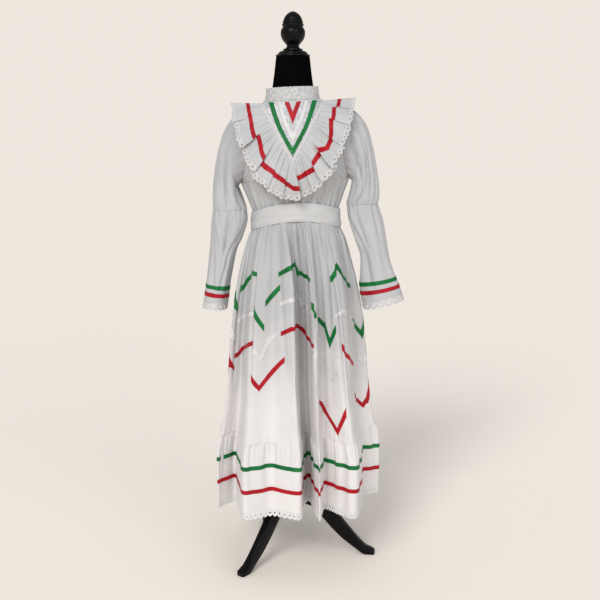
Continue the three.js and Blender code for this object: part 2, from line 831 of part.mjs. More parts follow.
// Ruffle: v is 0 at the V of the yoke and 1 at the lace's edge.
function rufflePoint(at, v) {
  const side = at < 0.5 ? -1 : 1;
  const place = at < 0.5 ? at : 1 - at;
  const share = 2 * place;
  const innerX = side * (YOKE_HALF_WIDTH + RUFFLE_OUTSIDE_V) * (1 - share);
  const innerHeight = THREE.MathUtils.lerp(RUFFLE_TOP, YOKE_TIP - RUFFLE_BELOW_TIP, share);
  const inner = onFront(innerX, innerHeight, RUFFLE_LIFT);
  const column = (name) => read(RUFFLE_EDGE, "at", name, place);
  const outer = new THREE.Vector3(side * column("x"), column("y"), column("height"));
  const point = inner.clone().lerp(outer, v);
  const away = outer.sub(inner).normalize();
  const wave = Math.cos(2 * Math.PI * RUFFLE_WAVES * at);
  point.y -= RUFFLE_PUFF * Math.sin(Math.PI * Math.min(v, 1));
  point.y -= RUFFLE_WAVE_DEPTH * v * wave;
  point.addScaledVector(away, RUFFLE_SWAY * RUFFLE_WAVE_DEPTH * v * wave);
  return tilted(point);
}

const RUFFLE_ROWS = [0, RUFFLE_RIBBON_AT, RUFFLE_CLOTH_END];
add(
  dress,
  "yoke_ruffle",
  sheet({
    rows: RUFFLE_ROWS.length,
    columns: RUFFLE_COLUMNS + 1,
    wall: TRIM,
    point: (r, c) => rufflePoint(c / RUFFLE_COLUMNS, RUFFLE_ROWS[r]),
  }),
  cotton,
);
add(
  dress,
  "yoke_ruffle_ribbon",
  sheet({
    rows: 2,
    columns: RUFFLE_COLUMNS + 1,
    wall: TRIM,
    lift: RIBBON_LIFT,
    point: (r, c) => {
      const half = r === 0 ? -RUFFLE_RIBBON_HALF : RUFFLE_RIBBON_HALF;
      return rufflePoint(c / RUFFLE_COLUMNS, RUFFLE_RIBBON_AT + half);
    },
  }),
  redSatin,
);
add(
  dress,
  "yoke_ruffle_lace",
  laceStrip({
    eyelets: RUFFLE_EYELETS,
    drop: 1,
    at: (share, drop) => rufflePoint(share, RUFFLE_LACE_START + (1 - RUFFLE_LACE_START) * drop),
  }),
  lace,
);

// Stand collar
const COLLAR = table(["height", "wide", "front", "back"], [
  [COLLAR_TOP, 78, 64, 58],
  [(COLLAR_TOP + COLLAR_BOTTOM) / 2, 79, 66, 63],
  [COLLAR_BOTTOM, 83, 70, 66],
]);
add(
  dress,
  "collar_stand",
  sheet({
    rows: COLLAR.length,
    columns: COLLAR_COLUMNS,
    round: true,
    point: (r, c) => {
      const { height, wide, front, back } = COLLAR[r];
      const flat = oval(wide, front, back, (2 * Math.PI * c) / COLLAR_COLUMNS);
      return tilted(new THREE.Vector3(flat.x + COLLAR_SHIFT, flat.y, height));
    },
  }),
  lace,
);

// Sash: a folded band round the waist, its two soft folds as shallow ridges.
const SASH_ROWS = table(["up", "out"], [
  [SASH_ABOVE_WAIST - 1, 6.5],
  [26, 9],
  [-SASH_BELOW_WAIST, 10],
]);
add(
  dress,
  "sash",
  sheet({
    rows: SASH_ROWS.length,
    columns: SASH_COLUMNS,
    round: true,
    wall: 2,
    lift: -2,
    point: (r, c) => {
      const angle = (2 * Math.PI * c) / SASH_COLUMNS;
      const height = waistHeight(angle) + SASH_ROWS[r].up;
      return bodicePoint(angle, height, SASH_ROWS[r].out);
    },
  }),
  cotton,
);

// Sleeves
function sleeveRing(section, side, turn) {
  const middle = new THREE.Vector3(
    (section.inX + section.outX) / 2,
    section.y,
    (section.inZ + section.outZ) / 2,
  );
  const half = new THREE.Vector3(
    (section.outX - section.inX) / 2,
    0,
    (section.outZ - section.inZ) / 2,
  );
  middle.addScaledVector(half, Math.cos(turn));
  middle.y += side * section.deep * Math.sin(turn);
  return middle;
}

function armholePoint(side, turn) {
  const y = side * (ARMHOLE_HALF_DEPTH - ARMHOLE_EASE) * Math.sin(turn);
  const height = ARMHOLE_MIDDLE + (ARMHOLE_HALF_HEIGHT - ARMHOLE_EASE) * Math.cos(turn);
  const { wide, front, back, shift } = bodiceSection(height);
  const depth = y < 0 ? front : back;
  const x = side * wide * Math.sqrt(1 - (y / depth) ** 2);
  return tilted(new THREE.Vector3(x + shift, y, height));
}

function turnOf(c) {
  return (2 * Math.PI * c) / SLEEVE_SIDES;
}

function sleeveUpper(sections, side) {
  return sheet({
    rows: sections.length + 1,
    columns: SLEEVE_SIDES,
    round: true,
    point: (r, c) =>
      r === 0 ? armholePoint(side, turnOf(c)) : sleeveRing(sections[r - 1], side, turnOf(c)),
  });
}

function sleeveLower(sections, side) {
  return sheet({
    rows: sections.length,
    columns: SLEEVE_SIDES,
    round: true,
    point: (r, c) => sleeveRing(sections[r], side, turnOf(c)),
  });
}

// A section between two others, or a little past them.
function blend(from, to, share) {
  return Object.fromEntries(
    SLEEVE_COLUMNS.map((name) => [name, THREE.MathUtils.lerp(from[name], to[name], share)]),
  );
}

function cuffRibbon(sections, row, side) {
  const above = sections[row - 1];
  const here = sections[row];
  const below = sections[row + 1];
  const length = (from, to) => Math.hypot(
    (from.inX + from.outX - to.inX - to.outX) / 2,
    (from.inZ + from.outZ - to.inZ - to.outZ) / 2,
  );
  const half = RIBBON_WIDTH / 2;
  const edges = [
    blend(here, above, half / length(here, above)),
    blend(here, below, half / length(here, below)),
  ];
  return sheet({
    rows: 2,
    columns: SLEEVE_SIDES,
    round: true,
    wall: TRIM,
    lift: CUFF_RIBBON_LIFT,
    point: (r, c) => sleeveRing(edges[r], side, turnOf(c)),
  });
}

function cuffLace(cuff, end, side, half) {
  const eyelets = 4;
  const edgeCut = 0.008;
  const from = half * Math.PI + edgeCut;
  const arc = Math.PI - 2 * edgeCut;
  const start = 0.015;
  return laceStrip({
    eyelets,
    drop: 1,
    at: (share, drop) => {
      const section = blend(cuff, end, THREE.MathUtils.lerp(start, 1, drop));
      return sleeveRing(section, side, from + arc * share);
    },
  });
}

const SLEEVES = table(["name", "side", "upper", "lower", "end"], [
  ["left", -1, LEFT_SLEEVE_UPPER, LEFT_SLEEVE_LOWER, LEFT_CUFF_LACE_END],
  ["right", 1, RIGHT_SLEEVE_UPPER, RIGHT_SLEEVE_LOWER, RIGHT_CUFF_LACE_END],
]);
const GREEN_ROW = 5;
const RED_ROW = 6;
for (const { name, side, upper, lower, end } of SLEEVES) {
  add(dress, `sleeve_upper_${name}`, sleeveUpper(upper, side), cotton);
  add(dress, `sleeve_lower_${name}`, sleeveLower(lower, side), cotton);
  add(dress, `cuff_ribbon_green_${name}`, cuffRibbon(lower, GREEN_ROW, side), greenSatin);
  add(dress, `cuff_ribbon_red_${name}`, cuffRibbon(lower, RED_ROW, side), redSatin);
  const cuff = lower[lower.length - 1];
  add(dress, `cuff_lace_${name}_a`, cuffLace(cuff, end, side, 0), lace);
  add(dress, `cuff_lace_${name}_b`, cuffLace(cuff, end, side, 1), lace);
}

// Dress form and stand
function formRing({ height, wide, front, back, shift }) {
  return Array.from({ length: FORM_SIDES }, (_, c) => {
    const flat = oval(wide, front, back, (2 * Math.PI * c) / FORM_SIDES);
    return new THREE.Vector3(flat.x + shift, flat.y, height);
  });
}

// Corners of a leg's section as shares of its half sizes.
const LEG_SECTION = table(["across", "up"], [
  [-1, 0.5],
  [-1, -0.5],
  [-0.6, -1],
  [0.6, -1],
  [1, -0.5],
  [1, 0.5],
  [0.6, 1],
  [-0.6, 1],
]);

function legRing({ reach, height, halfWidth, halfHeight, lean }) {
  return LEG_SECTION.map(({ across, up }) => {
    const rise = halfHeight * up;
    return new THREE.Vector3(reach + lean * rise, across * halfWidth, height + rise);
  });
}

function leg(angle) {
  const geometry = loft(LEG.map(legRing).reverse());
  return geometry.rotateZ(THREE.MathUtils.degToRad(angle - 90));
}

add(stand, "form_torso", loft(FORM.map(formRing).reverse()), blackJersey);
add(stand, "neck_cap", turned(CAP_PROFILE), blackLacquer);
add(stand, "finial", turned(FINIAL_PROFILE), blackLacquer);
add(stand, "stand_hub", turned(HUB_PROFILE), blackLacquer);
const POLE_PROFILE = table(["radius", "height"], [
  [0, POLE_BOTTOM],
  [POLE_RADIUS, POLE_BOTTOM],
  [POLE_RADIUS, FORM_BOTTOM - SEAM_GAP],
  [0, FORM_BOTTOM - SEAM_GAP],
]);
add(stand, "stand_pole", turned(POLE_PROFILE), blackLacquer);
LEG_ANGLES.forEach((angle, i) => add(stand, `stand_leg_${i + 1}`, leg(angle), blackLacquer));

// The origin is on the floor, under the middle of the whole.
const middle = new THREE.Box3().setFromObject(root).getCenter(new THREE.Vector3());
dress.position.set(-middle.x, -middle.y, 0);
stand.position.set(-middle.x, -middle.y, 0);

export default root;
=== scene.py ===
import math

import bpy
import numpy as np
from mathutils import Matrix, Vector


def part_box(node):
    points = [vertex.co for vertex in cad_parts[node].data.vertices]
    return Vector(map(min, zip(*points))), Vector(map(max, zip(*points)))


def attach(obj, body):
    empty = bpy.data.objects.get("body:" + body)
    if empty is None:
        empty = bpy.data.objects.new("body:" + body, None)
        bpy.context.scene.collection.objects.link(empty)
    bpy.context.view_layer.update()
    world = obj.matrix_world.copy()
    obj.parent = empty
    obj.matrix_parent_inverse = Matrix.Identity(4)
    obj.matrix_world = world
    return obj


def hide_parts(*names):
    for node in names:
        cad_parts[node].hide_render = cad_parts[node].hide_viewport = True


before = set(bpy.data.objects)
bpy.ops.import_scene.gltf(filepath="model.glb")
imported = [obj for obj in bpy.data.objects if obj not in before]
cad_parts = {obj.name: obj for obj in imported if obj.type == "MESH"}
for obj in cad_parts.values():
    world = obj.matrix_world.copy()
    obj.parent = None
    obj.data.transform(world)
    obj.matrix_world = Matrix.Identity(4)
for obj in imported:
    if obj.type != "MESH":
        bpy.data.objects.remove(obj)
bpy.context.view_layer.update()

# Lengths below are in millimetres from the pole's axis and the floor, as on the pattern.
MM = 0.001
POLE_LOW, POLE_HIGH = (np.array(corner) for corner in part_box("stand_pole"))
AXIS = (POLE_LOW + POLE_HIGH) / 2 * (1, 1, 0)
BODY = "root"
TURN = 2 * math.pi

# Cloth
CLOTH = 1.2
THIN_CLOTH = 1.0
SASH_WALL = 2.0
LACE = 0.9
SCALLOP_WIDTH = 18
RIBBON_WALL = 0.6
RIBBON_LIFT = 1.1
RIBBON_WIDTH = 12
SEAM = 0.3

# Edges sharper than these angles stay crisp, on cloth and on hard parts.
CLOTH_SHARP = 50
HARD_SHARP = 35

# Skirt, flounce and hem lace
WAIST_HALF_WIDTH = 129
WAIST_FRONT = 105
WAIST_BACK = 98
WAIST_SHIFT = 8
WAIST_SIDE_HEIGHT = 1044
WAIST_FRONT_RISE = 28
WAIST_BACK_RISE = 13
FLOUNCE_TOP = 428
FLOUNCE_GREEN = 358
FLOUNCE_RED = 288
HEM_HEIGHT = 226
HEM_LACE_DROP = 22
SKIRT_UNDER_SEAM = 2.5
FLOUNCE_OVER_SEAM = 1.5
GATHER_DEPTH = 4.5
GATHER_DEPTH_AT_HEM = 1
LEFT_SEAM = 29
RIGHT_SEAM = 15
FOLD_COUNT = 30
FOLD_WIDTH = 78
COLUMNS_PER_FOLD = 3
HEM_SCALLOPS = 180

# Bodice, yoke, ruffle and collar
ARMHOLE_MIDDLE = 1278
ARMHOLE_HALF_HEIGHT = 100
ARMHOLE_HALF_DEPTH = 60
ARMHOLE_EASE = 0.45
NECK_SEAM = 1412
YOKE_TOP = 1410
YOKE_HALF_WIDTH = 88
YOKE_TIP_HALF_WIDTH = 3
YOKE_TIP = 1240
YOKE_LIFT = 4.6
COLLAR_BOTTOM = 1412.6
COLLAR_TOP = 1453
COLLAR_SHIFT = -2
SHOULDER_TILT = 0.04
TILT_STARTS = 900
TILT_FULL = 1080
RUFFLE_WAVES = 22
RUFFLE_WAVE_DEPTH = 3.78
RUFFLE_LOBES = 13
RUFFLE_LOBE_DEPTH = 9
RUFFLE_LOBE_REACH = 3.5
RUFFLE_PUFF = 9
RUFFLE_LIFT = 5
RUFFLE_TOP = 1404
RUFFLE_BESIDE_YOKE = 3
RUFFLE_BELOW_TIP = 6
RUFFLE_CLOTH_END = 0.845
RUFFLE_LACE_START = 0.848
RUFFLE_LACE_DROP = 16
RUFFLE_SCALLOPS = 64
RUFFLE_DEPTH = 105
RUFFLE_RUN = 600
SASH_ABOVE_WAIST = 45
SASH_BELOW_WAIST = 10.5
SASH_RADIUS = 120
SASH_COLUMNS = 300
SASH_LIFT_TOP = 6.5
SASH_LIFT_MORE_BELOW = 3.5

# Dress form and stand
NECK_TOP = 1541
FORM_BOTTOM = 870
POLE_RADIUS = 16
POLE_BOTTOM = 215.3
TURNED_SIDES = 72
FORM_SIDES = 64
FORM_RINGS = 46
LEG_RINGS = 26
LEG_ROUNDING = 4.5
LEG_ANGLES = [-38, 82, 202]


def table(names, rows):
    """A table with named columns, one row for each section or fold."""
    return dict(zip(names.split(), np.array(rows, dtype=float).T))


# Folds of the skirt in the order of the cloth, seen from above, starting at the front left.
# waist is the angle in degrees where the fold leaves the waist (0 is the middle of the front);
# x and y are where its crest or valley reaches at the hem.
FOLDS = table("waist x y", [
    (-76, -225, -172),
    (-60, -178, -118),
    (-50, -139, -266),
    (-33, -60, -235),
    (-14, 20, -268),
    (-9, 30, -150),
    (-2, 48, -112),
    (7, 60, -180),
    (15, 79, -278),
    (22, 96, -180),
    (32, 135, -222),
    (44, 180, -260),
    (55, 205, -170),
    (68, 218, -62),
    (80, 266, -35),
    (100, 222, 62),
    (112, 255, 132),
    (124, 160, 150),
    (138, 160, 245),
    (150, 85, 182),
    (163, 58, 285),
    (175, 5, 192),
    (188, -45, 285),
    (200, -85, 190),
    (214, -150, 250),
    (227, -150, 158),
    (240, -228, 165),
    (254, -186, 75),
    (268, -234, 12),
    (276, -192, -40),
])

# How far the skirt has spread from waist (0) to hem (1) at a share of its length.
FLARE = table("down out", [
    (0, 0),
    (0.05, 0.15),
    (0.1, 0.26),
    (0.2, 0.44),
    (0.3, 0.565),
    (0.45, 0.67),
    (0.6, 0.75),
    (0.72, 0.86),
    (0.83, 0.98),
    (1, 1),
])

# Zigzag ribbons: each strip runs from one tucked fold to the next; three columns to a fold.
ZIGZAGS = {
    "green": [
        [(-4, 925), (1.6, 796)],
        [(1.6, 858), (5, 916), (6.05, 910)],
        [(6.05, 812), (7.95, 757)],
        [(8.05, 828), (9.95, 874)],
        [(9.78, 911), (10.7, 920), (12.1, 934), (15.4, 936), (16.7, 912), (22.8, 898)],
        [(22.9, 826), (23.5, 810), (28.6, 756), (29.4, 711), (31.1, 756)],
        [(30.8, 896), (33.6, 933), (34.8, 904), (39.4, 862)],
        [(38.8, 756), (41, 712), (47, 925), (52, 720), (57, 930), (62, 715), (65, 820)],
        [(65, 826), (68, 930), (73, 720), (78, 930), (80.5, 828)],
        [(80.5, 834), (83, 725), (86, 925)],
    ],
    "white": [
        [(-4, 824), (1.6, 706)],
        [(1.6, 764), (4.8, 796), (6.05, 798)],
        [(6.05, 704), (7.6, 668), (8.4, 716), (9.95, 752)],
        [(9.95, 827), (10.9, 836), (11.9, 844), (15.4, 844), (17.5, 820), (22.8, 804)],
        [(22.8, 700), (28, 640), (30, 598), (31, 618)],
        [(31, 792), (33.4, 808), (39.4, 746)],
        [(39.4, 648), (41, 622), (47, 828), (52, 622), (57, 833), (62, 612), (65, 716)],
        [(65, 722), (68, 833), (73, 614), (78, 833), (80.5, 730)],
        [(80.5, 736), (83, 636), (86, 824)],
    ],
    "red": [
        [(-4, 725), (1.6, 622)],
        [(1.6, 658), (6.05, 716)],
        [(6.05, 618), (7.4, 584), (10.4, 668)],
        [(10.05, 742), (10.7, 750), (11.6, 760), (13.8, 762), (19.8, 724), (23.4, 708)],
        [(25.6, 542), (26.6, 526), (28.7, 488), (30.3, 453), (32.2, 515)],
        [(32.2, 706), (36.2, 640)],
        [(36.2, 546), (40, 490), (41, 510), (47, 730), (52, 510), (57, 735), (62, 500), (65, 612)],
        [(65, 618), (68, 735), (73, 505), (78, 735), (80.5, 640)],
        [(80.5, 646), (83, 540), (86, 725)],
    ],
}

# Bodice shape from the waist up: half width, depth in front and behind, and shift to the side.
BODICE_SHAPE = table("height wide front back shift", [
    (1020, 128, 104, 97, 8),
    (1090, 129, 105, 98, 8),
    (1130, 142, 109, 100, 7),
    (1178, 160, 115, 104, 6),
    (1216, 164, 118, 106, 6),
    (1256, 167, 116, 104, 5),
    (1300, 170, 106, 98, 5),
    (1340, 174, 94, 90, 5),
    (1378, 178, 80, 78, 4),
    (1402, 118, 74, 70, 0),
    (1412, 83, 70, 66, -2),
])

# Outer edge of the yoke ruffle on one side: place from shoulder (0) to the tip of the V (0.5).
RUFFLE_EDGE = table("at x y height", [
    (0, 186, -14, 1415),
    (0.09, 173, -72, 1350),
    (0.168, 157, -104, 1294),
    (0.238, 137, -122, 1247),
    (0.325, 108, -134, 1190),
    (0.372, 82, -138, 1166),
    (0.435, 46, -138, 1138),
    (0.5, 0, -138, 1124),
])

# Sleeve sections below the armhole: the inner and outer end of each, its middle y and half depth.
SLEEVE_COLUMNS = "in_x in_z out_x out_z y deep"
LEFT_SLEEVE_UPPER = table(SLEEVE_COLUMNS, [
    (-165, 1160, -204, 1325, -2, 62),
    (-162, 1150, -224, 1262, -6, 58),
    (-155, 1135, -237, 1182, -12, 55),
    (-145, 1112, -242, 1122, -18, 55),
    (-140, 1094, -240, 1090, -21, 50),
])
LEFT_SLEEVE_LOWER = table(SLEEVE_COLUMNS, [
    (-140, 1093.6, -240, 1089.6, -21, 50),
    (-137, 1058, -245, 1050, -26, 52),
    (-152, 1010, -248, 1000, -30, 48),
    (-171, 970, -253, 955, -32, 46),
    (-186, 900, -261, 892, -34, 48),
    (-193, 856, -265, 866, -36, 52),
    (-196, 834, -268, 843, -36, 54),
    (-198, 814, -271, 820, -37, 56),
    (-201, 792, -276, 798, -38, 59),
])
RIGHT_SLEEVE_UPPER = table(SLEEVE_COLUMNS, [
    (176, 1178, 219, 1340, -2, 62),
    (176, 1168, 241, 1262, -6, 58),
    (171, 1148, 256, 1180, -10, 55),
    (165, 1124, 260, 1132, -14, 55),
    (162, 1110, 254, 1108, -17, 48),
])
RIGHT_SLEEVE_LOWER = table(SLEEVE_COLUMNS, [
    (162, 1109.6, 254, 1107.6, -17, 48),
    (166, 1062, 270, 1060, -21, 50),
    (186, 1005, 281, 998, -24, 48),
    (203, 957, 290, 950, -26, 46),
    (204, 905, 302, 914, -28, 48),
    (203, 866, 314, 886, -29, 52),
    (206, 840, 324, 864, -30, 54),
    (211, 811, 332, 841, -30, 56),
    (216, 789, 338, 820, -31, 59),
])

# Creases, given one by one: from and to (fold, height), half width and depth; a ridge has a minus depth.
SKIRT_CREASES = [
    (-0.6, 1010, -0.3, 640, 16, 5),
    (0.5, 990, 0.7, 560, 20, -4),
    (1.6, 1035, 1.1, 700, 13, 5),
    (2.5, 1040, 2.3, 800, 10, 4),
    (3.3, 1050, 2.7, 560, 22, 7),
    (3.8, 1055, 4.3, 770, 12, -4),
    (4.6, 1000, 4.2, 470, 18, 5),
    (6.6, 1050, 6.9, 880, 10, 4),
    (8.5, 1040, 8.9, 640, 17, 6),
    (10.4, 1030, 10.2, 760, 12, -5),
    (10.9, 1000, 11.4, 520, 22, 7),
    (12.5, 1020, 12.8, 720, 14, 5),
    (13.6, 990, 13.3, 560, 20, 6),
    (14.6, 1010, 14.4, 830, 12, -4),
    (15.9, 1020, 16.2, 620, 18, 6),
    (17.6, 980, 17.4, 560, 20, -5),
    (19.2, 1030, 19.7, 700, 15, 6),
    (21.3, 1010, 20.8, 600, 22, 5),
    (22.8, 1030, 22.4, 800, 12, 5),
    (24.4, 990, 24.7, 540, 20, -5),
    (26.3, 1020, 26.6, 660, 16, 6),
    (28.3, 1000, 28.0, 700, 14, 5),
    (2.9, 700, 4.5, 560, 26, 3),
    (9.3, 690, 11.6, 590, 24, -3),
    (0.53, 960, 0.5, 580, 8, 9),
    (2.02, 1010, 2.05, 560, 8, 10),
    (3.32, 1010, 3.5, 620, 8, 10),
    (7.6, 980, 8.2, 560, 8, 10),
    (10.34, 980, 10.8, 470, 8, 10),
    (13.15, 930, 12.1, 560, 8, 9),
    (21.67, 980, 21.6, 560, 8, 9),
    (26.83, 980, 26.9, 560, 8, 9),
]
FLOUNCE_CREASES = [
    (-0.4, 420, -0.2, 250, 18, 6),
    (2.6, 425, 2.9, 300, 14, 5),
    (3.7, 415, 3.5, 240, 22, -6),
    (7.8, 425, 8.2, 270, 14, 5),
    (10.6, 420, 10.8, 260, 20, 6),
    (12.4, 425, 12.2, 320, 13, 5),
    (16.6, 420, 16.4, 260, 18, 6),
    (20.3, 425, 20.6, 280, 16, -5),
    (24.7, 420, 24.4, 250, 20, 6),
    (27.2, 425, 27.4, 300, 15, 5),
]


# Reading tables and shaping cloth
def smoothstep(x, low, high):
    t = np.clip((x - low) / (high - low), 0, 1)
    return t * t * (3 - 2 * t)


def read(rows, key, column, at):
    """Reads a column at a place on its key, along a cubic through the rows."""
    keys = rows[key]
    values = rows[column]
    last = len(keys) - 1
    before = np.maximum(np.arange(last + 1) - 1, 0)
    after = np.minimum(np.arange(last + 1) + 1, last)
    slopes = (values[after] - values[before]) / (keys[after] - keys[before])
    i = np.searchsorted(keys[1:-1], at)
    span = keys[i + 1] - keys[i]
    t = np.clip((at - keys[i]) / span, 0, 1)
    t2 = t * t
    t3 = t2 * t
    return (
        (2 * t3 - 3 * t2 + 1) * values[i]
        + (t3 - 2 * t2 + t) * span * slopes[i]
        + (3 * t2 - 2 * t3) * values[i + 1]
        + (t3 - t2) * span * slopes[i + 1]
    )


def fading(distance, reach):
    """1 up to a seam, then less and less; a third is left after its reach."""
    return np.exp(-np.maximum(distance, 0) / reach)


def stack(x, y, z):
    return np.stack(np.broadcast_arrays(x, y, z), axis=-1).astype(float)


def unit(vectors):
    return vectors / np.linalg.norm(vectors, axis=-1, keepdims=True)


def spread(u, v):
    """Every place of a grid: columns along u, rows down v."""
    return np.meshgrid(np.asarray(u, float), np.asarray(v, float))


def around(columns):
    """Even places round a closed piece, in radians."""
    return np.arange(columns) * TURN / columns


def tilted(points):
    """The upper dress hangs a little lower on its left."""
    share = smoothstep(points[..., 2], TILT_STARTS, TILT_FULL)
    moved = points.copy()
    moved[..., 2] += SHOULDER_TILT * share * points[..., 0]
    return moved


def creases(rows, u, v, period, along=1.0, down=1.0):
    """Depth of soft troughs and ridges along short lines; along and down are lengths of one step."""
    total = np.zeros(np.broadcast(u, v).shape)
    for from_u, from_v, to_u, to_v, width, depth in rows:
        x = ((u - from_u + period / 2) % period - period / 2) * along
        y = (v - from_v) * down
        across = (to_u - from_u) * along
        length = (to_v - from_v) * down
        share = np.clip((x * across + y * length) / (across**2 + length**2), 0, 1)
        gap = (x - share * across) ** 2 + (y - share * length) ** 2
        total -= depth * np.exp(-gap / width**2) * (0.3 + 0.7 * np.sin(math.pi * share))
    return total


class Cloth:
    """A cloth surface: a function of its two directions, and how small a step is on it."""

    def __init__(self, point, step_u, step_v):
        self.point = point
        self.step_u = step_u
        self.step_v = step_v

    def facing(self, u, v):
        across = self.point(u + self.step_u, v) - self.point(u - self.step_u, v)
        down = self.point(u, v + self.step_v) - self.point(u, v - self.step_v)
        return unit(np.cross(down, across))

    def at(self, u, v, lift=0.0):
        lift = np.asarray(lift, float)[..., None]
        return self.point(u, v) + self.facing(u, v) * lift


# Making pieces
def placed(points):
    return np.asarray(points) * MM + AXIS


def shade(mesh, sharp):
    """Smooth shading, except along edges sharper than the given angle."""
    mesh.polygons.foreach_set("use_smooth", [True] * len(mesh.polygons))
    mesh.set_sharp_from_angle(angle=math.radians(sharp))


def finish_mesh(name, points, faces, uvs=None, sharp=CLOTH_SHARP):
    """A mesh in metres from points in millimetres."""
    mesh = bpy.data.meshes.new(name)
    mesh.from_pydata(placed(points).tolist(), [], faces)
    if uvs is not None:
        layer = mesh.uv_layers.new(name="cloth")
        layer.data.foreach_set("uv", np.asarray(uvs, dtype=np.float32).ravel())
    shade(mesh, sharp)
    mesh.update()
    return mesh


def piece(name, mesh, finish, replaces=()):
    thing = bpy.data.objects.new(name, mesh)
    bpy.context.scene.collection.objects.link(thing)
    mesh.materials.append(finish)
    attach(thing, BODY)
    if replaces:
        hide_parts(*replaces)
    return thing


def grid_facing(points, closed):
    if closed:
        across = np.roll(points, -1, axis=1) - np.roll(points, 1, axis=1)
    else:
        across = np.gradient(points, axis=1)
    return unit(np.cross(np.gradient(points, axis=0), across))


def shell(name, outer, wall=CLOTH, closed=False):
    """A two-sided cloth wall from a grid of its outer points, with its edges closed."""
    rows, columns = outer.shape[:2]
    inner = outer - wall * grid_facing(outer, closed)
    count = rows * columns
    points = np.concatenate([outer.reshape(-1, 3), inner.reshape(-1, 3)])
    steps = columns if closed else columns - 1
    r, c = (index.ravel() for index in np.mgrid[0:rows - 1, 0:steps])
    past = c + 1
    following = past % columns
    corners = np.stack([
        r * columns + c,
        (r + 1) * columns + c,
        (r + 1) * columns + following,
        r * columns + following,
    ], axis=1)
    wrapped = np.concatenate([outer, outer[:, :1]], axis=1) if closed else outer
    along = np.linalg.norm(np.diff(wrapped, axis=1), axis=2).mean(axis=0)
    down = np.linalg.norm(np.diff(outer, axis=0), axis=2).mean(axis=1)
    s = np.concatenate([[0], np.cumsum(along)]) * MM
    t = np.concatenate([[0], np.cumsum(down)]) * MM
    front = np.stack([
        np.stack([s[c], -t[r]], axis=1),
        np.stack([s[c], -t[r + 1]], axis=1),
        np.stack([s[past], -t[r + 1]], axis=1),
        np.stack([s[past], -t[r]], axis=1),
    ], axis=1)
    faces = [corners, corners[:, ::-1] + count]
    uvs = [front, front[:, ::-1]]

    def rim(first, second, place_a, place_b):
        faces.append(np.stack([first, first + count, second + count, second], axis=1))
        uvs.append(np.stack([place_a, place_a, place_b, place_b], axis=1))

    c = np.arange(steps)
    past = c + 1
    following = past % columns
    top_a = np.stack([s[c], 0 * s[c]], axis=1)
    top_b = np.stack([s[past], 0 * s[c]], axis=1)
    rim(following, c, top_b, top_a)
    last = (rows - 1) * columns
    low = np.full(steps, -t[-1])
    rim(last + c, last + following, np.stack([s[c], low], axis=1), np.stack([s[past], low], axis=1))
    if not closed:
        r = np.arange(rows - 1)
        left = 0 * t[r]
        rim(r * columns, (r + 1) * columns, np.stack([left, -t[r]], axis=1),
            np.stack([left, -t[r + 1]], axis=1))
        right = left + s[-1]
        end = columns - 1
        rim((r + 1) * columns + end, r * columns + end, np.stack([right, -t[r + 1]], axis=1),
            np.stack([right, -t[r]], axis=1))
    return finish_mesh(name, points, np.concatenate(faces).tolist(), np.concatenate(uvs))


# One scallop of eyelet lace in shares of its width and drop, anticlockwise from its lower left.
SCALLOP_SIDE = 0.72
SCALLOP = (
    [(0, SCALLOP_SIDE), (0, 0.48), (0, 0.24), (0, 0)]
    + [(0.25, 0), (0.5, 0), (0.75, 0), (1, 0)]
    + [(1, 0.24), (1, 0.48), (1, SCALLOP_SIDE)]
    + [(s, SCALLOP_SIDE + 0.28 * math.sin(math.pi * s)) for s in (0.875, 0.7, 0.5, 0.3, 0.125)]
)
EYELET = (0.5, 0.46)
EYELET_REACH = (0.15, 0.13)
EYELET_RIM = 0.7
STITCHED_EDGE = 0.35


def lace_strip(name, at, count, closed, drop):
    """A strip of scallops, each with an eyelet cut through it and a raised stitched rim.

    at(along, down, lift) takes scallops along the strip, a share of its drop and a lift."""
    rings = []
    for s, t in SCALLOP:
        reach = math.hypot((s - EYELET[0]) / EYELET_REACH[0], (t - EYELET[1]) / EYELET_REACH[1])
        hole = (EYELET[0] + (s - EYELET[0]) / reach, EYELET[1] + (t - EYELET[1]) / reach)
        edge = STITCHED_EDGE if t >= SCALLOP_SIDE else 0
        # From the eyelet's edge outwards: share of the way and lift.
        shares = [(0, 0.2), (0.22, EYELET_RIM), (0.45, 0), (0.8, 0), (1, edge)]
        rings.append([
            (hole[0] + (s - hole[0]) * share, hole[1] + (t - hole[1]) * share, lift)
            for share, lift in shares
        ])
    numbers = {}
    places = []

    def number(s, t, lift):
        s = s % count if closed else s
        key = (round(s * 1e4) % (count * 10000) if closed else round(s * 1e4), round(t * 1e4))
        if key not in numbers:
            numbers[key] = len(places)
            places.append((s, t, lift))
        return numbers[key]

    faces = []
    steps = len(rings[0]) - 1
    for cell in range(count):
        for i, here in enumerate(rings):
            ahead = rings[(i + 1) % len(rings)]
            for k in range(steps):
                quad = (here[k], ahead[k], ahead[k + 1], here[k + 1])
                faces.append([number(cell + s, t, lift) for s, t, lift in quad])
    s, t, lift = np.array(places).T
    size = len(places)
    points = np.concatenate([at(s, t, lift), at(s, t, -LACE + 0 * lift)])
    directed = {(face[i], face[(i + 1) % 4]) for face in faces for i in range(4)}
    edges = [edge for edge in directed if edge[::-1] not in directed]
    walls = [[b, a, a + size, b + size] for a, b in sorted(edges)]
    backs = [[corner + size for corner in face[::-1]] for face in faces]
    place = np.stack([s * SCALLOP_WIDTH, -t * drop], axis=1) * MM
    place = np.concatenate([place, place])
    all_faces = faces + backs + walls
    uvs = place[np.array(all_faces).ravel()]
    return finish_mesh(name, points, all_faces, uvs)


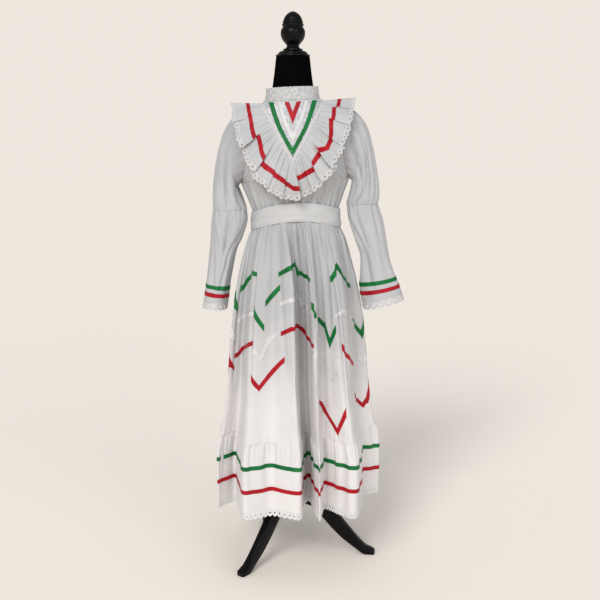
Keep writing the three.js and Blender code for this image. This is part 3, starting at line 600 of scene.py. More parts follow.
def sequins(name, middles, facing, radii, seed):
    """Small cupped discs, each turned a little its own way, joined in one mesh."""
    sides = 8
    wobble = 0.16
    rim, crown, under = 0.4, 0.75, 0.1
    rng = np.random.default_rng(seed)
    facing = unit(facing + rng.normal(0, wobble, facing.shape))
    across = unit(np.cross(facing, (0.31, 0.12, 0.94)))
    up = np.cross(facing, across)
    turns = around(sides)
    radii = radii[:, None, None]
    ring = radii * (np.cos(turns)[:, None] * across[:, None] + np.sin(turns)[:, None] * up[:, None])
    ring = middles[:, None] + ring + rim * facing[:, None]
    points = np.concatenate(
        [ring, (middles + crown * facing)[:, None], (middles + under * facing)[:, None]], axis=1
    )
    faces = []
    for start in range(0, len(middles) * (sides + 2), sides + 2):
        for k in range(sides):
            here = start + k
            ahead = start + (k + 1) % sides
            faces.append([here, ahead, start + sides])
            faces.append([ahead, here, start + sides + 1])
    return finish_mesh(name, points.reshape(-1, 3), faces, sharp=HARD_SHARP)


# Skirt
def waist_angle(fold):
    places = np.arange(-1, FOLD_COUNT + 1)
    angles = np.concatenate([[FOLDS["waist"][-1] - 360], FOLDS["waist"], [FOLDS["waist"][0] + 360]])
    return np.radians(np.interp(fold % FOLD_COUNT, places, angles))


def waist_height(angle):
    rise = np.where(np.cos(angle) > 0, WAIST_FRONT_RISE, WAIST_BACK_RISE)
    return WAIST_SIDE_HEIGHT + rise * np.cos(angle) ** 2


def hem_outline(fold):
    """A smooth closed curve through the folds, seen from above."""
    corners = np.stack([FOLDS["x"], FOLDS["y"]], axis=1)
    fold = fold % FOLD_COUNT
    i = np.floor(fold).astype(int)
    t = (fold - i)[..., None]
    a, b, c, d = (corners[(i + k) % FOLD_COUNT] for k in (-1, 0, 1, 2))

    def knot(p, q):
        return (((q - p) ** 2).sum(axis=-1) ** 0.25)[..., None]

    before, here, after = knot(a, b), knot(b, c), knot(c, d)
    start = ((b - a) / before - (c - a) / (before + here) + (c - b) / here) * here
    end = ((c - b) / here - (d - b) / (here + after) + (d - c) / after) * here
    return b + start * t + (-3 * b + 3 * c - 2 * start - end) * t**2 + (
        2 * b - 2 * c + start + end
    ) * t**3


def skirt_base(fold, height):
    angle = waist_angle(fold)
    depth = np.where(np.cos(angle) > 0, WAIST_FRONT, WAIST_BACK)
    start = np.stack(
        [WAIST_HALF_WIDTH * np.sin(angle) + WAIST_SHIFT, -depth * np.cos(angle)], axis=-1
    )
    top = waist_height(angle)
    out = read(FLARE, "down", "out", (top - height) / (top - HEM_HEIGHT))[..., None]
    flat = start + (hem_outline(fold) - start) * out
    return tilted(stack(flat[..., 0], flat[..., 1], height))


def skirt_outward(fold, height):
    nudge = 0.06
    along = skirt_base(fold + nudge, height) - skirt_base(fold - nudge, height)
    return unit(stack(along[..., 1], -along[..., 0], 0 * along[..., 0]))


def waves(fold, count, phase=0.0, sway=0.0, sway_count=3):
    """An uneven row of waves, a whole number of them round the skirt."""
    place = TURN * fold / FOLD_COUNT
    return np.cos(count * place + phase + sway * np.sin(sway_count * place + phase))


def skirt_point(fold, height):
    below = waist_height(waist_angle(fold)) - height
    gathers = 0.6 * waves(fold, 71, 0.4, 1.8) + 0.4 * waves(fold, 113, 1.3, 1.2, 4)
    gathers = gathers * fading(below, 120) * (1 + 0.35 * waves(fold, 8, 0.9))
    pleats = waves(fold, 31, 0.8, 1.1, 4) * (1 + 0.4 * waves(fold, 9, 0.4))
    pleats = pleats * smoothstep(below, 8, 50) * fading(below - 30, 170)
    down = np.clip(below / (WAIST_SIDE_HEIGHT - FLOUNCE_TOP), 0, 1)
    soft = waves(fold, 43, 2.1, 1.6, 5) * (0.6 + 0.4 * waves(fold, 7, 0.2))
    soft = soft * np.sin(math.pi * down) ** 0.7
    pulled = waves(fold, 97, 0.7, 1.1, 5) * fading(height - FLOUNCE_TOP, 22)
    relief = 2.2 * gathers + 4.2 * pleats + 2.4 * soft + 0.9 * pulled
    relief = relief + creases(SKIRT_CREASES, fold, height, FOLD_COUNT, along=FOLD_WIDTH)
    return skirt_base(fold, height) + skirt_outward(fold, height) * relief[..., None]


def flounce_point(fold, height):
    below = FLOUNCE_TOP - height
    share = np.clip(below / (FLOUNCE_TOP - HEM_HEIGHT), 0, 1)
    depth = GATHER_DEPTH + (GATHER_DEPTH_AT_HEM - GATHER_DEPTH) * share
    from_seam = 0.2 + 0.8 * smoothstep(below, -2, 18)
    gathers = waves(fold, 45, 0, 0.5, 4) * (1 + 0.3 * waves(fold, 11, 0.6))
    small = 1.9 * waves(fold, 113, 0.7, 1.1, 5) + 1.7 * waves(fold, 181, 0.2, 1.6, 7)
    small = small * fading(below, 42)
    tuck = 1.7 * (1 - smoothstep(below, 0, 10))
    relief = depth * gathers * from_seam + small * from_seam - tuck
    relief = relief + creases(FLOUNCE_CREASES, fold, height, FOLD_COUNT, along=FOLD_WIDTH)
    return skirt_base(fold, height) + skirt_outward(fold, height) * relief[..., None]


FOLD_STEP = 0.02
HEIGHT_STEP = -2.0
SKIRT = Cloth(skirt_point, FOLD_STEP, HEIGHT_STEP)
FLOUNCE = Cloth(flounce_point, FOLD_STEP, HEIGHT_STEP)
PANELS = {
    "front": (LEFT_SEAM - FOLD_COUNT, RIGHT_SEAM),
    "back": (RIGHT_SEAM, LEFT_SEAM),
}
SIDE_SEAM_CUT = 0.002
SKIRT_COLUMNS = 18
SKIRT_ROWS = 84
FLOUNCE_COLUMNS = 34
FLOUNCE_ROWS = 30
ROW_CROWDING = 1.15


def panel_folds(side, columns):
    start, end = PANELS[side]
    count = (end - start) * columns + 1
    return np.linspace(start + SIDE_SEAM_CUT, end - SIDE_SEAM_CUT, count)


def skirt_panel(side):
    fold, down = spread(panel_folds(side, SKIRT_COLUMNS), np.linspace(0, 1, SKIRT_ROWS))
    top = waist_height(waist_angle(fold))
    height = top + (FLOUNCE_TOP - SKIRT_UNDER_SEAM - top) * down
    return shell(f"skirt_{side}", SKIRT.point(fold, height))


def flounce_panel(side):
    """Its rows lie a little closer together near the seam."""
    top = FLOUNCE_TOP + FLOUNCE_OVER_SEAM
    down = np.linspace(0, 1, FLOUNCE_ROWS) ** ROW_CROWDING
    fold, height = spread(panel_folds(side, FLOUNCE_COLUMNS), top - (top - HEM_HEIGHT) * down)
    return shell(f"flounce_{side}", FLOUNCE.point(fold, height))


def hem_lace():
    def at(along, down, lift):
        fold = along * FOLD_COUNT / HEM_SCALLOPS
        return FLOUNCE.at(fold, HEM_HEIGHT - SEAM - HEM_LACE_DROP * down, lift)

    return lace_strip("hem_lace", at, HEM_SCALLOPS, True, HEM_LACE_DROP)


# How steep a ribbon may count as when it is widened, and its steps to a column.
STEEPEST = 2.6
STRIP_COLUMNS = 6


class Strip:
    """One stretch of a zigzag ribbon, from its corners as (column, height)."""

    def __init__(self, corners):
        self.columns, self.heights = np.array(corners, dtype=float).T

    def height(self, column):
        return np.interp(column, self.columns, self.heights)

    def half(self, column):
        """Half the ribbon's upright size, so that it keeps its width across its own slope."""
        step = 0.3
        height = self.height(column)
        here = skirt_base(column / COLUMNS_PER_FOLD, height)
        slopes = []
        for move in (-step, step):
            there = skirt_base((column + move) / COLUMNS_PER_FOLD, height)
            away = np.linalg.norm(there - here, axis=-1)
            slopes.append(np.abs(self.height(column + move) - height) / away)
        return RIBBON_WIDTH / 2 * np.sqrt(1 + np.minimum(np.maximum(*slopes), STEEPEST) ** 2)

    def places(self):
        count = int((self.columns[-1] - self.columns[0]) * STRIP_COLUMNS) + 1
        even = np.linspace(self.columns[0], self.columns[-1], count)
        return np.unique(np.concatenate([even, self.columns]).round(3))


def joined(name, meshes):
    """Several meshes made into one."""
    things = [bpy.data.objects.new(mesh.name, mesh) for mesh in meshes]
    bpy.ops.object.select_all(action="DESELECT")
    for thing in things:
        bpy.context.scene.collection.objects.link(thing)
        thing.select_set(True)
    bpy.context.view_layer.objects.active = things[0]
    bpy.ops.object.join()
    mesh = things[0].data
    mesh.name = name
    bpy.data.objects.remove(things[0])
    return mesh


def zigzag_ribbon(name, colour):
    strips = []
    for number, corners in enumerate(ZIGZAGS[colour]):
        strip = Strip(corners)
        column, across = spread(strip.places(), np.linspace(-1, 1, 5))
        height = strip.height(column) - across * strip.half(column)
        lift = RIBBON_LIFT - 0.25 * across**4
        points = SKIRT.at(column / COLUMNS_PER_FOLD, height, lift)
        strips.append(shell(f"{name}_{number}", points, RIBBON_WALL))
    return joined(name, strips)


def flounce_ribbon(name, height):
    columns = FOLD_COUNT * FLOUNCE_COLUMNS
    fold, across = spread(np.arange(columns) / FLOUNCE_COLUMNS, np.linspace(-1, 1, 4))
    return shell(name, FLOUNCE.at(fold, height - across * RIBBON_WIDTH / 2, RIBBON_LIFT),
                 RIBBON_WALL, closed=True)


def skirt_sequins():
    """Sequins scattered in three loose rows along the white ribbon."""
    per_column = 3.2
    lane_place = 0.62
    rng = np.random.default_rng(11)
    folds = []
    heights = []
    for corners in ZIGZAGS["white"]:
        strip = Strip(corners)
        count = int(per_column * (strip.columns[-1] - strip.columns[0]))
        column = np.linspace(strip.columns[0] + 0.1, strip.columns[-1] - 0.1, count)
        lane = rng.choice([-lane_place, 0.0, lane_place], count) + rng.normal(0, 0.12, count)
        heights.append(strip.height(column) + lane * strip.half(column))
        folds.append(column / COLUMNS_PER_FOLD)
    fold = np.concatenate(folds)
    height = np.concatenate(heights)
    middles = SKIRT.at(fold, height, RIBBON_LIFT + 0.05)
    radii = rng.uniform(2.0, 2.9, len(fold))
    return sequins("skirt_sequins", middles, SKIRT.facing(fold, height), radii, 5)


# Bodice
SHAPE_NAMES = ("wide", "front", "back", "shift")


def bodice_section(height):
    return [read(BODICE_SHAPE, "height", name, height) for name in SHAPE_NAMES]


def bodice_point(angle, height, out):
    wide, front, back, shift = bodice_section(height)
    depth = np.where(np.cos(angle) > 0, front, back)
    x = (wide + out) * np.sin(angle) + shift
    y = -(depth + out) * np.cos(angle)
    return tilted(stack(x, y, height))


def armhole_depth(height):
    up = (height - ARMHOLE_MIDDLE) / (ARMHOLE_HALF_HEIGHT + ARMHOLE_EASE)
    return (ARMHOLE_HALF_DEPTH + ARMHOLE_EASE) * np.sqrt(np.maximum(0, 1 - up * up))


BODICE_CREASES = {
    "front": [
        (-0.72, 1190, -0.5, 1110, 9, 3),
        (-0.3, 1150, -0.36, 1085, 7, 2.5),
        (0.28, 1170, 0.33, 1090, 8, 3),
        (0.78, 1210, 0.6, 1105, 10, 3.5),
        (-0.85, 1230, -0.62, 1180, 9, -3),
        (0.9, 1250, 0.7, 1190, 9, -3),
    ],
    "back": [
        (-0.5, 1330, -0.62, 1150, 12, 4),
        (0.45, 1320, 0.6, 1140, 12, 4),
        (-0.15, 1260, -0.2, 1120, 14, -3),
        (0.2, 1240, 0.1, 1110, 12, 3),
        (0.75, 1200, 0.6, 1110, 9, 3),
        (-0.8, 1190, -0.68, 1105, 9, 3),
    ],
}
# Heights on the bodice: its rows are level above the first and follow the waist below it, small
# gathers start below the second, and all gathers are pressed flatter below the third.
LEVEL_ABOVE = 1130
SMALL_GATHERS_BELOW = 1150
PRESSED_BELOW = 1110
BODICE_HALF_WIDTH = 200
NO_REPEAT = 99
BODICE_PANELS = {
    "front": dict(columns=150, rows=96, gathers=15, middle=0.0, top=1215),
    "back": dict(columns=120, rows=80, gathers=12, middle=math.pi, top=1190),
}


def bodice_panel(side):
    size = BODICE_PANELS[side]
    levels = np.linspace(NECK_SEAM, WAIST_SIDE_HEIGHT + SEAM, size["rows"])
    share, level = spread(np.linspace(-1, 1, size["columns"]), levels)
    depth = read(BODICE_SHAPE, "height", side, level)
    hole = np.maximum(armhole_depth(level), SEAM)
    angle = size["middle"] + share * np.arccos(hole / depth)
    sash_top = WAIST_SIDE_HEIGHT + SASH_ABOVE_WAIST
    follow = np.clip((LEVEL_ABOVE - level) / (LEVEL_ABOVE - sash_top), 0, 1)
    height = level + (waist_height(angle) - WAIST_SIDE_HEIGHT) * follow
    pressed = 0.55 * smoothstep(PRESSED_BELOW - height, 0, 30)
    fullness = smoothstep(size["top"] - height, 0, 45) * (1 - pressed)
    inside = smoothstep(1 - np.abs(share), 0, 0.08)
    place = share * size["gathers"] * math.pi / 2
    pleat = np.cos(2 * place + 1.4 * np.sin(1.7 * place / 3))
    pleat = np.sign(pleat) * np.abs(pleat) ** 0.8
    small = np.cos(4.6 * place + 0.9 * np.sin(place))
    small = small * smoothstep(SMALL_GATHERS_BELOW - height, 0, 50)
    relief = (3.2 * pleat + 0.9 * small) * fullness * inside
    folds = creases(BODICE_CREASES[side], share, height, NO_REPEAT, along=BODICE_HALF_WIDTH)
    relief = relief + inside * folds
    return shell(f"bodice_{side}", bodice_point(angle, height, relief))


def front_depth(x, height):
    wide, front, _, shift = bodice_section(height)
    across = np.clip((x - shift) / wide, -0.98, 0.98)
    return -front * np.sqrt(1 - across**2)


def on_front(x, height, lift):
    """The bodice's front at a place seen from the front, moved out along its own facing."""
    slope_x = (front_depth(x + 1, height) - front_depth(x - 1, height)) / 2
    slope_z = (front_depth(x, height + 1) - front_depth(x, height - 1)) / 2
    facing = unit(stack(slope_x, -1.0, slope_z))
    lift = np.asarray(lift, float)[..., None]
    return stack(x, front_depth(x, height), height) + facing * lift


# Yoke
def yoke_panel():
    across, down = spread(np.linspace(-1, 1, 56), np.linspace(0, 1, 60))
    height = YOKE_TOP + (YOKE_TIP - YOKE_TOP) * down
    half = YOKE_HALF_WIDTH + (YOKE_TIP_HALF_WIDTH - YOKE_HALF_WIDTH) * down
    quilted = 0.35 * np.cos(12 * math.pi * across * (1 - 0.6 * down))
    points = tilted(on_front(across * half, height, YOKE_LIFT + quilted))
    return shell("yoke_front", points, THIN_CLOTH)


def v_arm(along, half, bow):
    """How far to the side an arm of a V lies; bow is how far the arms curve out."""
    return along * half + np.sign(along) * bow * np.sin(math.pi * np.abs(along))


def yoke_band(name, half_width, top, tip, width, lift, wall, bow=0.0, ridges=0):
    """A V-shaped band, mitred at its tip; ridges are those of a braid."""
    along, across = spread(np.linspace(-1, 1, 81), np.linspace(-1, 1, 13 if ridges else 5))
    rise = (top - tip) / half_width
    reach = width / 2 * math.sqrt(1 + 1 / rise**2)
    x = v_arm(along, half_width + across * reach, bow)
    corner = tip - across * reach * rise
    height = corner + (top - corner) * np.abs(along)
    braid = 0.8 * np.abs(np.sin(ridges * math.pi / 2 * (across + 1))) + 0.3 * np.cos(260 * along)
    relief = lift + (braid if ridges else -0.2 * across**4)
    return shell(name, tilted(on_front(x, height, relief)), wall)


# Ribbons of the yoke: half width at the top, height of the tip, width and bow.
YOKE_RIBBON_TOP = 1406
YOKE_RIBBON_LIFT = 5.9
YOKE_RIBBONS = {
    "green": (62, 1262, 13, 7),
    "white": (38, 1304, 9, 5),
    "red": (17, 1360, 12, 0),
}
# The lace braid on the yoke's edge.
BRAID_TOP = 1400
BRAID_TIP = 1237
BRAID_WIDTH = 10
BRAID_LIFT = 7.2
# Rows of sequins beside the ribbons: half width at the top, height of the tip and bow.
SEQUIN_ROWS = [
    (76, 1249, 7),
    (72, 1255, 7),
    (52, 1276, 6),
    (47, 1284, 6),
    (30, 1321, 4),
    (25, 1335, 4),
]
SEQUIN_TOP = 1403
SEQUIN_PITCH = 4.6
SEQUIN_RADIUS = 2.1


def yoke_sequins():
    xs = []
    heights = []
    for half, tip, bow in SEQUIN_ROWS:
        count = int(2 * math.hypot(half, SEQUIN_TOP + 1 - tip) / SEQUIN_PITCH)
        along = np.linspace(-1, 1, count)
        xs.append(v_arm(along, half, bow))
        heights.append(tip + (SEQUIN_TOP - tip) * np.abs(along))
    x = np.concatenate(xs)
    height = np.concatenate(heights)
    middles = tilted(on_front(x, height, YOKE_LIFT + 0.55))
    facing = tilted(on_front(x, height, YOKE_LIFT + 2)) - middles
    return sequins("yoke_sequins", middles, unit(facing), np.full(len(x), SEQUIN_RADIUS), 3)


# Ruffle: v is 0 at the V of the yoke and 1 at the lace's edge; at runs from 0 to 1 round it.
# Tucks where the ruffle folds over itself: where, how deep and how far it laps.
RUFFLE_TUCKS = [
    (0.08, 5, 5),
    (0.18, 13, 13),
    (0.295, 11, 11),
    (0.385, 5, 5),
    (0.457, 5, 5),
    (0.527, 12, 10),
    (0.585, -4, 4),
    (0.641, -11, 11),
    (0.714, -15, 15),
    (0.80, -6, 7),
    (0.89, -9, 9),
    (0.957, -8, 8),
]
# The red ribbon steps at the tucks: each stretch as (where, share of the ruffle's depth).
RUFFLE_STRETCHES = [
    [(0.001, 0.44), (0.085, 0.48), (0.172, 0.56)],
    [(0.184, 0.44), (0.238, 0.50), (0.29, 0.59)],
    [(0.292, 0.66), (0.362, 0.61), (0.438, 0.59), (0.478, 0.62), (0.53, 0.74)],
    [(0.525, 0.50), (0.58, 0.52), (0.64, 0.61)],
    [(0.642, 0.52), (0.672, 0.48), (0.716, 0.49)],
    [(0.71, 0.36), (0.75, 0.61), (0.81, 0.58), (0.885, 0.40)],
    [(0.892, 0.47), (0.953, 0.39)],
    [(0.957, 0.49), (0.999, 0.48)],
]
TUCK_HALF = 0.011
RIBBON_HALF_SHARE = 0.056


def ruffle_point(at, v):
    at = np.clip(at, 0, 1)
    v = np.asarray(v, float)
    side = np.where(at < 0.5, -1.0, 1.0)
    place = np.minimum(at, 1 - at)
    share = 2 * place
    inner_x = side * (YOKE_HALF_WIDTH + RUFFLE_BESIDE_YOKE) * (1 - share)
    inner_height = RUFFLE_TOP + (YOKE_TIP - RUFFLE_BELOW_TIP - RUFFLE_TOP) * share
    inner = on_front(inner_x, inner_height, RUFFLE_LIFT)
    outer = stack(
        side * read(RUFFLE_EDGE, "at", "x", place),
        read(RUFFLE_EDGE, "at", "y", place),
        read(RUFFLE_EDGE, "at", "height", place),
    )
    away = unit(outer - inner)
    turn = TURN * RUFFLE_WAVES * at + 0.9 * np.sin(TURN * 3 * at + 0.5)
    swell = np.exp(-(((v - 0.3) / 0.28) ** 2)) + 0.34 * smoothstep(v, 0.3, 1)
    gathers = RUFFLE_WAVE_DEPTH * np.cos(turn) * swell * (1 + 0.3 * np.cos(TURN * 5 * at))
    small = 1.1 * np.cos(TURN * 57 * at + 1.5 * np.sin(TURN * 4 * at)) * np.exp(-v / 0.2)
    lobes = 0.5 + 0.5 * np.cos(TURN * RUFFLE_LOBES * at + 1.3 * np.sin(TURN * 2 * at + 1))
    lobes = lobes * smoothstep(v, 0.3, 1)
    forward = (gathers + small) * smoothstep(v, 0, 0.1) + RUFFLE_LOBE_DEPTH * lobes
    sideways = 0.0
    for middle, depth, lap in RUFFLE_TUCKS:
        x = (at - middle) / TUCK_HALF
        fold = -x * np.exp(0.5 - x * x / 2) * smoothstep(v, 0.12, 0.85)
        forward = forward + depth * fold
        sideways = sideways + lap * fold
    further = (RUFFLE_LOBE_REACH * lobes - 1) * v
    point = inner + (outer - inner) * v[..., None] + away * further[..., None]
    along = unit(stack(-away[..., 2], 0.0, away[..., 0]))
    point = point + along * (sideways + 0.12 * gathers)[..., None]
    point[..., 1] -= RUFFLE_PUFF * np.sin(math.pi * np.minimum(v, 1)) + forward
    return tilted(point)


RUFFLE = Cloth(ruffle_point, 0.0008, 0.01)
RUFFLE_COLUMNS = 440
RUFFLE_ROWS = 26


def ruffle_cloth():
    at, v = spread(np.linspace(0, 1, RUFFLE_COLUMNS), np.linspace(0, RUFFLE_CLOTH_END, RUFFLE_ROWS))
    return shell("yoke_ruffle", RUFFLE.point(at, v), THIN_CLOTH)


def ruffle_ribbon():
    """Its stretches, each as wide across its own slope as the rest."""
    step = 0.004
    steepest = 0.6
    strips = []
    for number, corners in enumerate(RUFFLE_STRETCHES):
        places, shares = np.array(corners, dtype=float).T
        count = int((places[-1] - places[0]) * RUFFLE_COLUMNS) + 2
        at, across = spread(np.linspace(places[0], places[-1], count), np.linspace(-1, 1, 5))
        rise = np.interp(at + step, places, shares) - np.interp(at - step, places, shares)
        slope = np.minimum(np.abs(rise) / (2 * step) * RUFFLE_DEPTH / RUFFLE_RUN, steepest)
        v = np.interp(at, places, shares) + across * RIBBON_HALF_SHARE * np.sqrt(1 + slope**2)
        strips.append(shell(f"ruffle_stretch_{number}", RUFFLE.at(at, v, 1.0), RIBBON_WALL))
    return joined("yoke_ruffle_ribbon", strips)


def ruffle_lace():
    def at(along, down, lift):
        v = RUFFLE_LACE_START + (1 - RUFFLE_LACE_START) * down
        return RUFFLE.at(np.clip(along / RUFFLE_SCALLOPS, 0.001, 0.999), v, lift)

    return lace_strip("yoke_ruffle_lace", at, RUFFLE_SCALLOPS, False, RUFFLE_LACE_DROP)


# Collar
COLLAR = table("height wide front back", [
    (COLLAR_BOTTOM, 83, 70, 66),
    ((COLLAR_TOP + COLLAR_BOTTOM) / 2, 79, 66, 63),
    (COLLAR_TOP, 78, 64, 58),
])
COLLAR_FLOWERS = 26
COLLAR_COLUMNS = 260


def collar():
    turn, height = spread(around(COLLAR_COLUMNS), np.linspace(COLLAR_TOP, COLLAR_BOTTOM, 26))
    wide, front, back = (read(COLLAR, "height", name, height) for name in ("wide", "front", "back"))
    up = (height - COLLAR_BOTTOM) / (COLLAR_TOP - COLLAR_BOTTOM)
    band = np.exp(-((up - 0.1) / 0.05) ** 2) + 0.8 * np.exp(-((up - 0.96) / 0.04) ** 2)
    flowers = np.cos(COLLAR_FLOWERS * turn) * np.cos(3 * math.pi * up) * smoothstep(up, 0.16, 0.3)
    relief = 0.8 * band + 0.5 * flowers * (1 - smoothstep(up, 0.85, 0.95))
    depth = np.where(np.cos(turn) > 0, front, back)
    x = (wide + relief) * np.sin(turn) + COLLAR_SHIFT
    y = -(depth + relief) * np.cos(turn)
    scallop = 1.1 * np.abs(np.cos(COLLAR_FLOWERS * turn)) * smoothstep(up, 0.8, 1)
    return shell("collar_stand", tilted(stack(x, y, height - scallop)), closed=True)


# Sash: soft folds lie round it, and two cross it slantwise on the right.
SASH_CREASES = [
    (-1.6, 12, -0.5, 17, 4.5, 2.6),
    (-0.9, 29, 0.2, 25, 4.5, 2.4),
    (-0.3, 6, 0.75, 3, 4, 2.2),
    (0.25, 37, 0.95, 8, 5, 3.0),
    (0.55, 40, 1.45, 20, 4.5, 2.6),
    (1.3, 10, 2.4, 18, 5, 2.4),
    (1.9, 32, 3.3, 28, 4.5, 2.4),
    (2.9, 8, 4.1, 14, 5, 2.6),
    (3.7, 34, 4.6, 26, 4.5, 2.2),
]


def sash():
    turn, down = spread(around(SASH_COLUMNS), np.linspace(0, 1, 34))
    top = SASH_ABOVE_WAIST - 1
    up = top - (top + SASH_BELOW_WAIST) * down
    out = SASH_LIFT_TOP + SASH_LIFT_MORE_BELOW * smoothstep(down, 0, 0.55)
    relief = creases(SASH_CREASES, turn, up, TURN, along=SASH_RADIUS)
    round_edges = -1.6 * (smoothstep(down, 0.88, 1) + smoothstep(1 - down, 0.9, 1))
    soft = 0.7 * np.cos(9 * turn + 6 * down) + 0.5 * np.cos(5 * turn - 9 * down)
    out = out + 0.8 * relief + round_edges + soft * smoothstep(1 - down, 0, 0.15)
    return shell("sash", bodice_point(turn, waist_height(turn) + up, out), SASH_WALL, closed=True)


# Sleeves
class Sleeve:
    """A tube through its sections; turn goes round it from its outer side, v counts the sections."""

    def __init__(self, side, sections, armhole, relief):
        self.side = side
        self.sections = sections
        self.armhole = armhole
        self.relief = relief
        self.last = len(sections["y"]) - (0 if armhole else 1)
        self.cloth = Cloth(self.point, 0.02, 0.02)

    def ring(self, k, turn):
        row = np.clip(k - (1 if self.armhole else 0), 0, len(self.sections["y"]) - 1)
        part = {name: values[row] for name, values in self.sections.items()}
        cos = np.cos(turn)
        x = (part["in_x"] + part["out_x"]) / 2 + (part["out_x"] - part["in_x"]) / 2 * cos
        z = (part["in_z"] + part["out_z"]) / 2 + (part["out_z"] - part["in_z"]) / 2 * cos
        y = part["y"] + self.side * part["deep"] * np.sin(turn)
        points = stack(x, y, z)
        if self.armhole:
            points = np.where((k == 0)[..., None], armhole_point(self.side, turn), points)
        return points

    def smooth(self, turn, v):
        turn, v = np.broadcast_arrays(turn, v)
        i = np.clip(np.floor(v).astype(int), 0, self.last - 1)
        t = (v - i)[..., None]
        a, b, c, d = (self.ring(np.clip(i + k, 0, self.last), turn) for k in (-1, 0, 1, 2))
        return b + 0.5 * t * ((c - a) + t * ((2 * a - 5 * b + 4 * c - d) + t * (3 * (b - c) + d - a)))

    def point(self, turn, v):
        step = 0.05
        across = self.smooth(turn + step, v) - self.smooth(turn - step, v)
        down = self.smooth(turn, v + step) - self.smooth(turn, v - step)
        facing = unit(np.cross(down, across))
        return self.smooth(turn, v) + facing * self.relief(turn, v)[..., None]


def armhole_point(side, turn):
    y = side * (ARMHOLE_HALF_DEPTH - ARMHOLE_EASE) * np.sin(turn)
    height = ARMHOLE_MIDDLE + (ARMHOLE_HALF_HEIGHT - ARMHOLE_EASE) * np.cos(turn)
    wide, front, back, shift = bodice_section(height)
    depth = np.where(y < 0, front, back)
    x = side * wide * np.sqrt(1 - (y / depth) ** 2)
    return tilted(stack(x + shift, y, height))


# Sleeve creases: from and to (turn in radians, section), half width and depth.
SLEEVE_CREASES = {
    "upper_left": [
        (1.1, 0.5, 1.55, 2.3, 10, 6),
        (1.55, 2.2, 1.6, 4.9, 10, 6),
        (0.8, 1.3, 1.35, 3.2, 8, -4),
        (0.4, 0.4, 0.5, 3.6, 9, 4),
        (2.9, 0.7, 2.4, 2.2, 9, 5),
        (2.2, 2.6, 2.5, 4.6, 9, 4),
        (-0.6, 0.6, -0.3, 3.8, 12, -4),
        (-1.6, 1.0, -1.3, 4.4, 12, 5),
        (-2.6, 1.6, -2.2, 4.6, 11, 4),
    ],
    "lower_left": [
        (1.6, 0.1, 1.6, 1.6, 9, 6),
        (1.6, 1.2, 1.8, 3.4, 9, 5),
        (0.65, 0.5, 2.0, 3.7, 8, -4),
        (0.5, 1.6, 1.3, 5.0, 10, 5),
        (2.3, 1.9, 1.9, 5.2, 9, 5),
        (2.9, 0.3, 2.5, 2.4, 9, 4),
        (-0.7, 0.6, -0.5, 5.8, 12, 5),
        (-1.8, 0.3, -1.5, 4.8, 12, 5),
        (-2.6, 1.2, -2.4, 5.6, 12, 4),
    ],
    "upper_right": [
        (-0.4, 0.3, -1.1, 1.1, 6, 5),
        (-1.1, 1.0, -1.55, 3.8, 6, 6),
        (-0.75, 0.8, -1.25, 4.0, 6, 5),
        (-0.35, 0.9, -0.75, 4.2, 6, 5),
        (-1.3, 0.4, -2.2, 0.9, 8, 6),
        (-2.1, 0.9, -1.9, 2.4, 8, 4),
        (-1.7, 2.7, -2.3, 4.9, 7, 6),
        (1.9, 0.9, 1.5, 4.4, 12, 5),
        (0.9, 0.4, 1.0, 3.2, 10, 5),
        (2.7, 1.2, 2.4, 4.2, 11, 4),
    ],
    "lower_right": [
        (-3.0, 0.6, -2.3, 2.4, 8, 6),
        (-2.2, 0.2, -2.0, 2.4, 9, 4),
        (-1.5, 0.1, -1.5, 1.4, 8, 4),
        (-0.9, 0.1, -0.9, 1.8, 8, 4),
        (-2.3, 2.8, -1.9, 6.0, 12, 5),
        (0.6, 0.4, 0.9, 4.4, 12, 5),
        (1.7, 0.6, 1.4, 5.4, 12, -4),
        (2.6, 0.4, 2.3, 4.6, 12, 5),
    ],
}
SLEEVE_RADIUS = 55
SECTION_LENGTH = 45
CREASE_STRENGTH = 1.7


def sleeve_relief(name, top_gathers, end_gathers, last):
    """Creases of one stretch of sleeve, with small gathers at its upper and lower seams."""

    def relief(turn, v):
        folds = creases(SLEEVE_CREASES[name], turn, v, TURN, along=SLEEVE_RADIUS, down=SECTION_LENGTH)
        ends = smoothstep(v, 0, 0.35) * smoothstep(last - v, 0, 0.35)
        upper = top_gathers * np.cos(17 * turn + 1.1 * np.sin(3 * turn)) * fading(v, 0.55)
        lower = end_gathers * np.cos(19 * turn + 0.9 * np.sin(4 * turn)) * fading(last - v, 0.5)
        soft = 2.0 * np.cos(5 * turn + 0.5 * v) + 1.0 * np.cos(9 * turn - 0.4 * v + 1)
        soft = soft * np.sin(math.pi * np.clip(v / last, 0, 1)) ** 0.7
        seam = smoothstep(v, 0, 0.12) * smoothstep(last - v, 0, 0.12)
        return CREASE_STRENGTH * folds * ends + soft + (upper + lower) * (0.35 + 0.65 * seam)

    return relief


UPPER_LAST = 5
LOWER_LAST = 8
CUFF_AT = 7
SLEEVES = {
    "upper_left": Sleeve(-1, LEFT_SLEEVE_UPPER, True, sleeve_relief("upper_left", 1.2, 2.0, UPPER_LAST)),
    "lower_left": Sleeve(-1, LEFT_SLEEVE_LOWER, False, sleeve_relief("lower_left", 1.8, 0.5, LOWER_LAST)),
    "upper_right": Sleeve(1, RIGHT_SLEEVE_UPPER, True, sleeve_relief("upper_right", 2.2, 2.2, UPPER_LAST)),
    "lower_right": Sleeve(1, RIGHT_SLEEVE_LOWER, False, sleeve_relief("lower_right", 2.2, 0.5, LOWER_LAST)),
}
SLEEVE_COLUMNS_ROUND = 104
SLEEVE_ROWS = 58
CUFF_SCALLOPS = 16
CUFF_LACE_DROP = 22
CUFF_GREEN = 5
CUFF_RED = 6


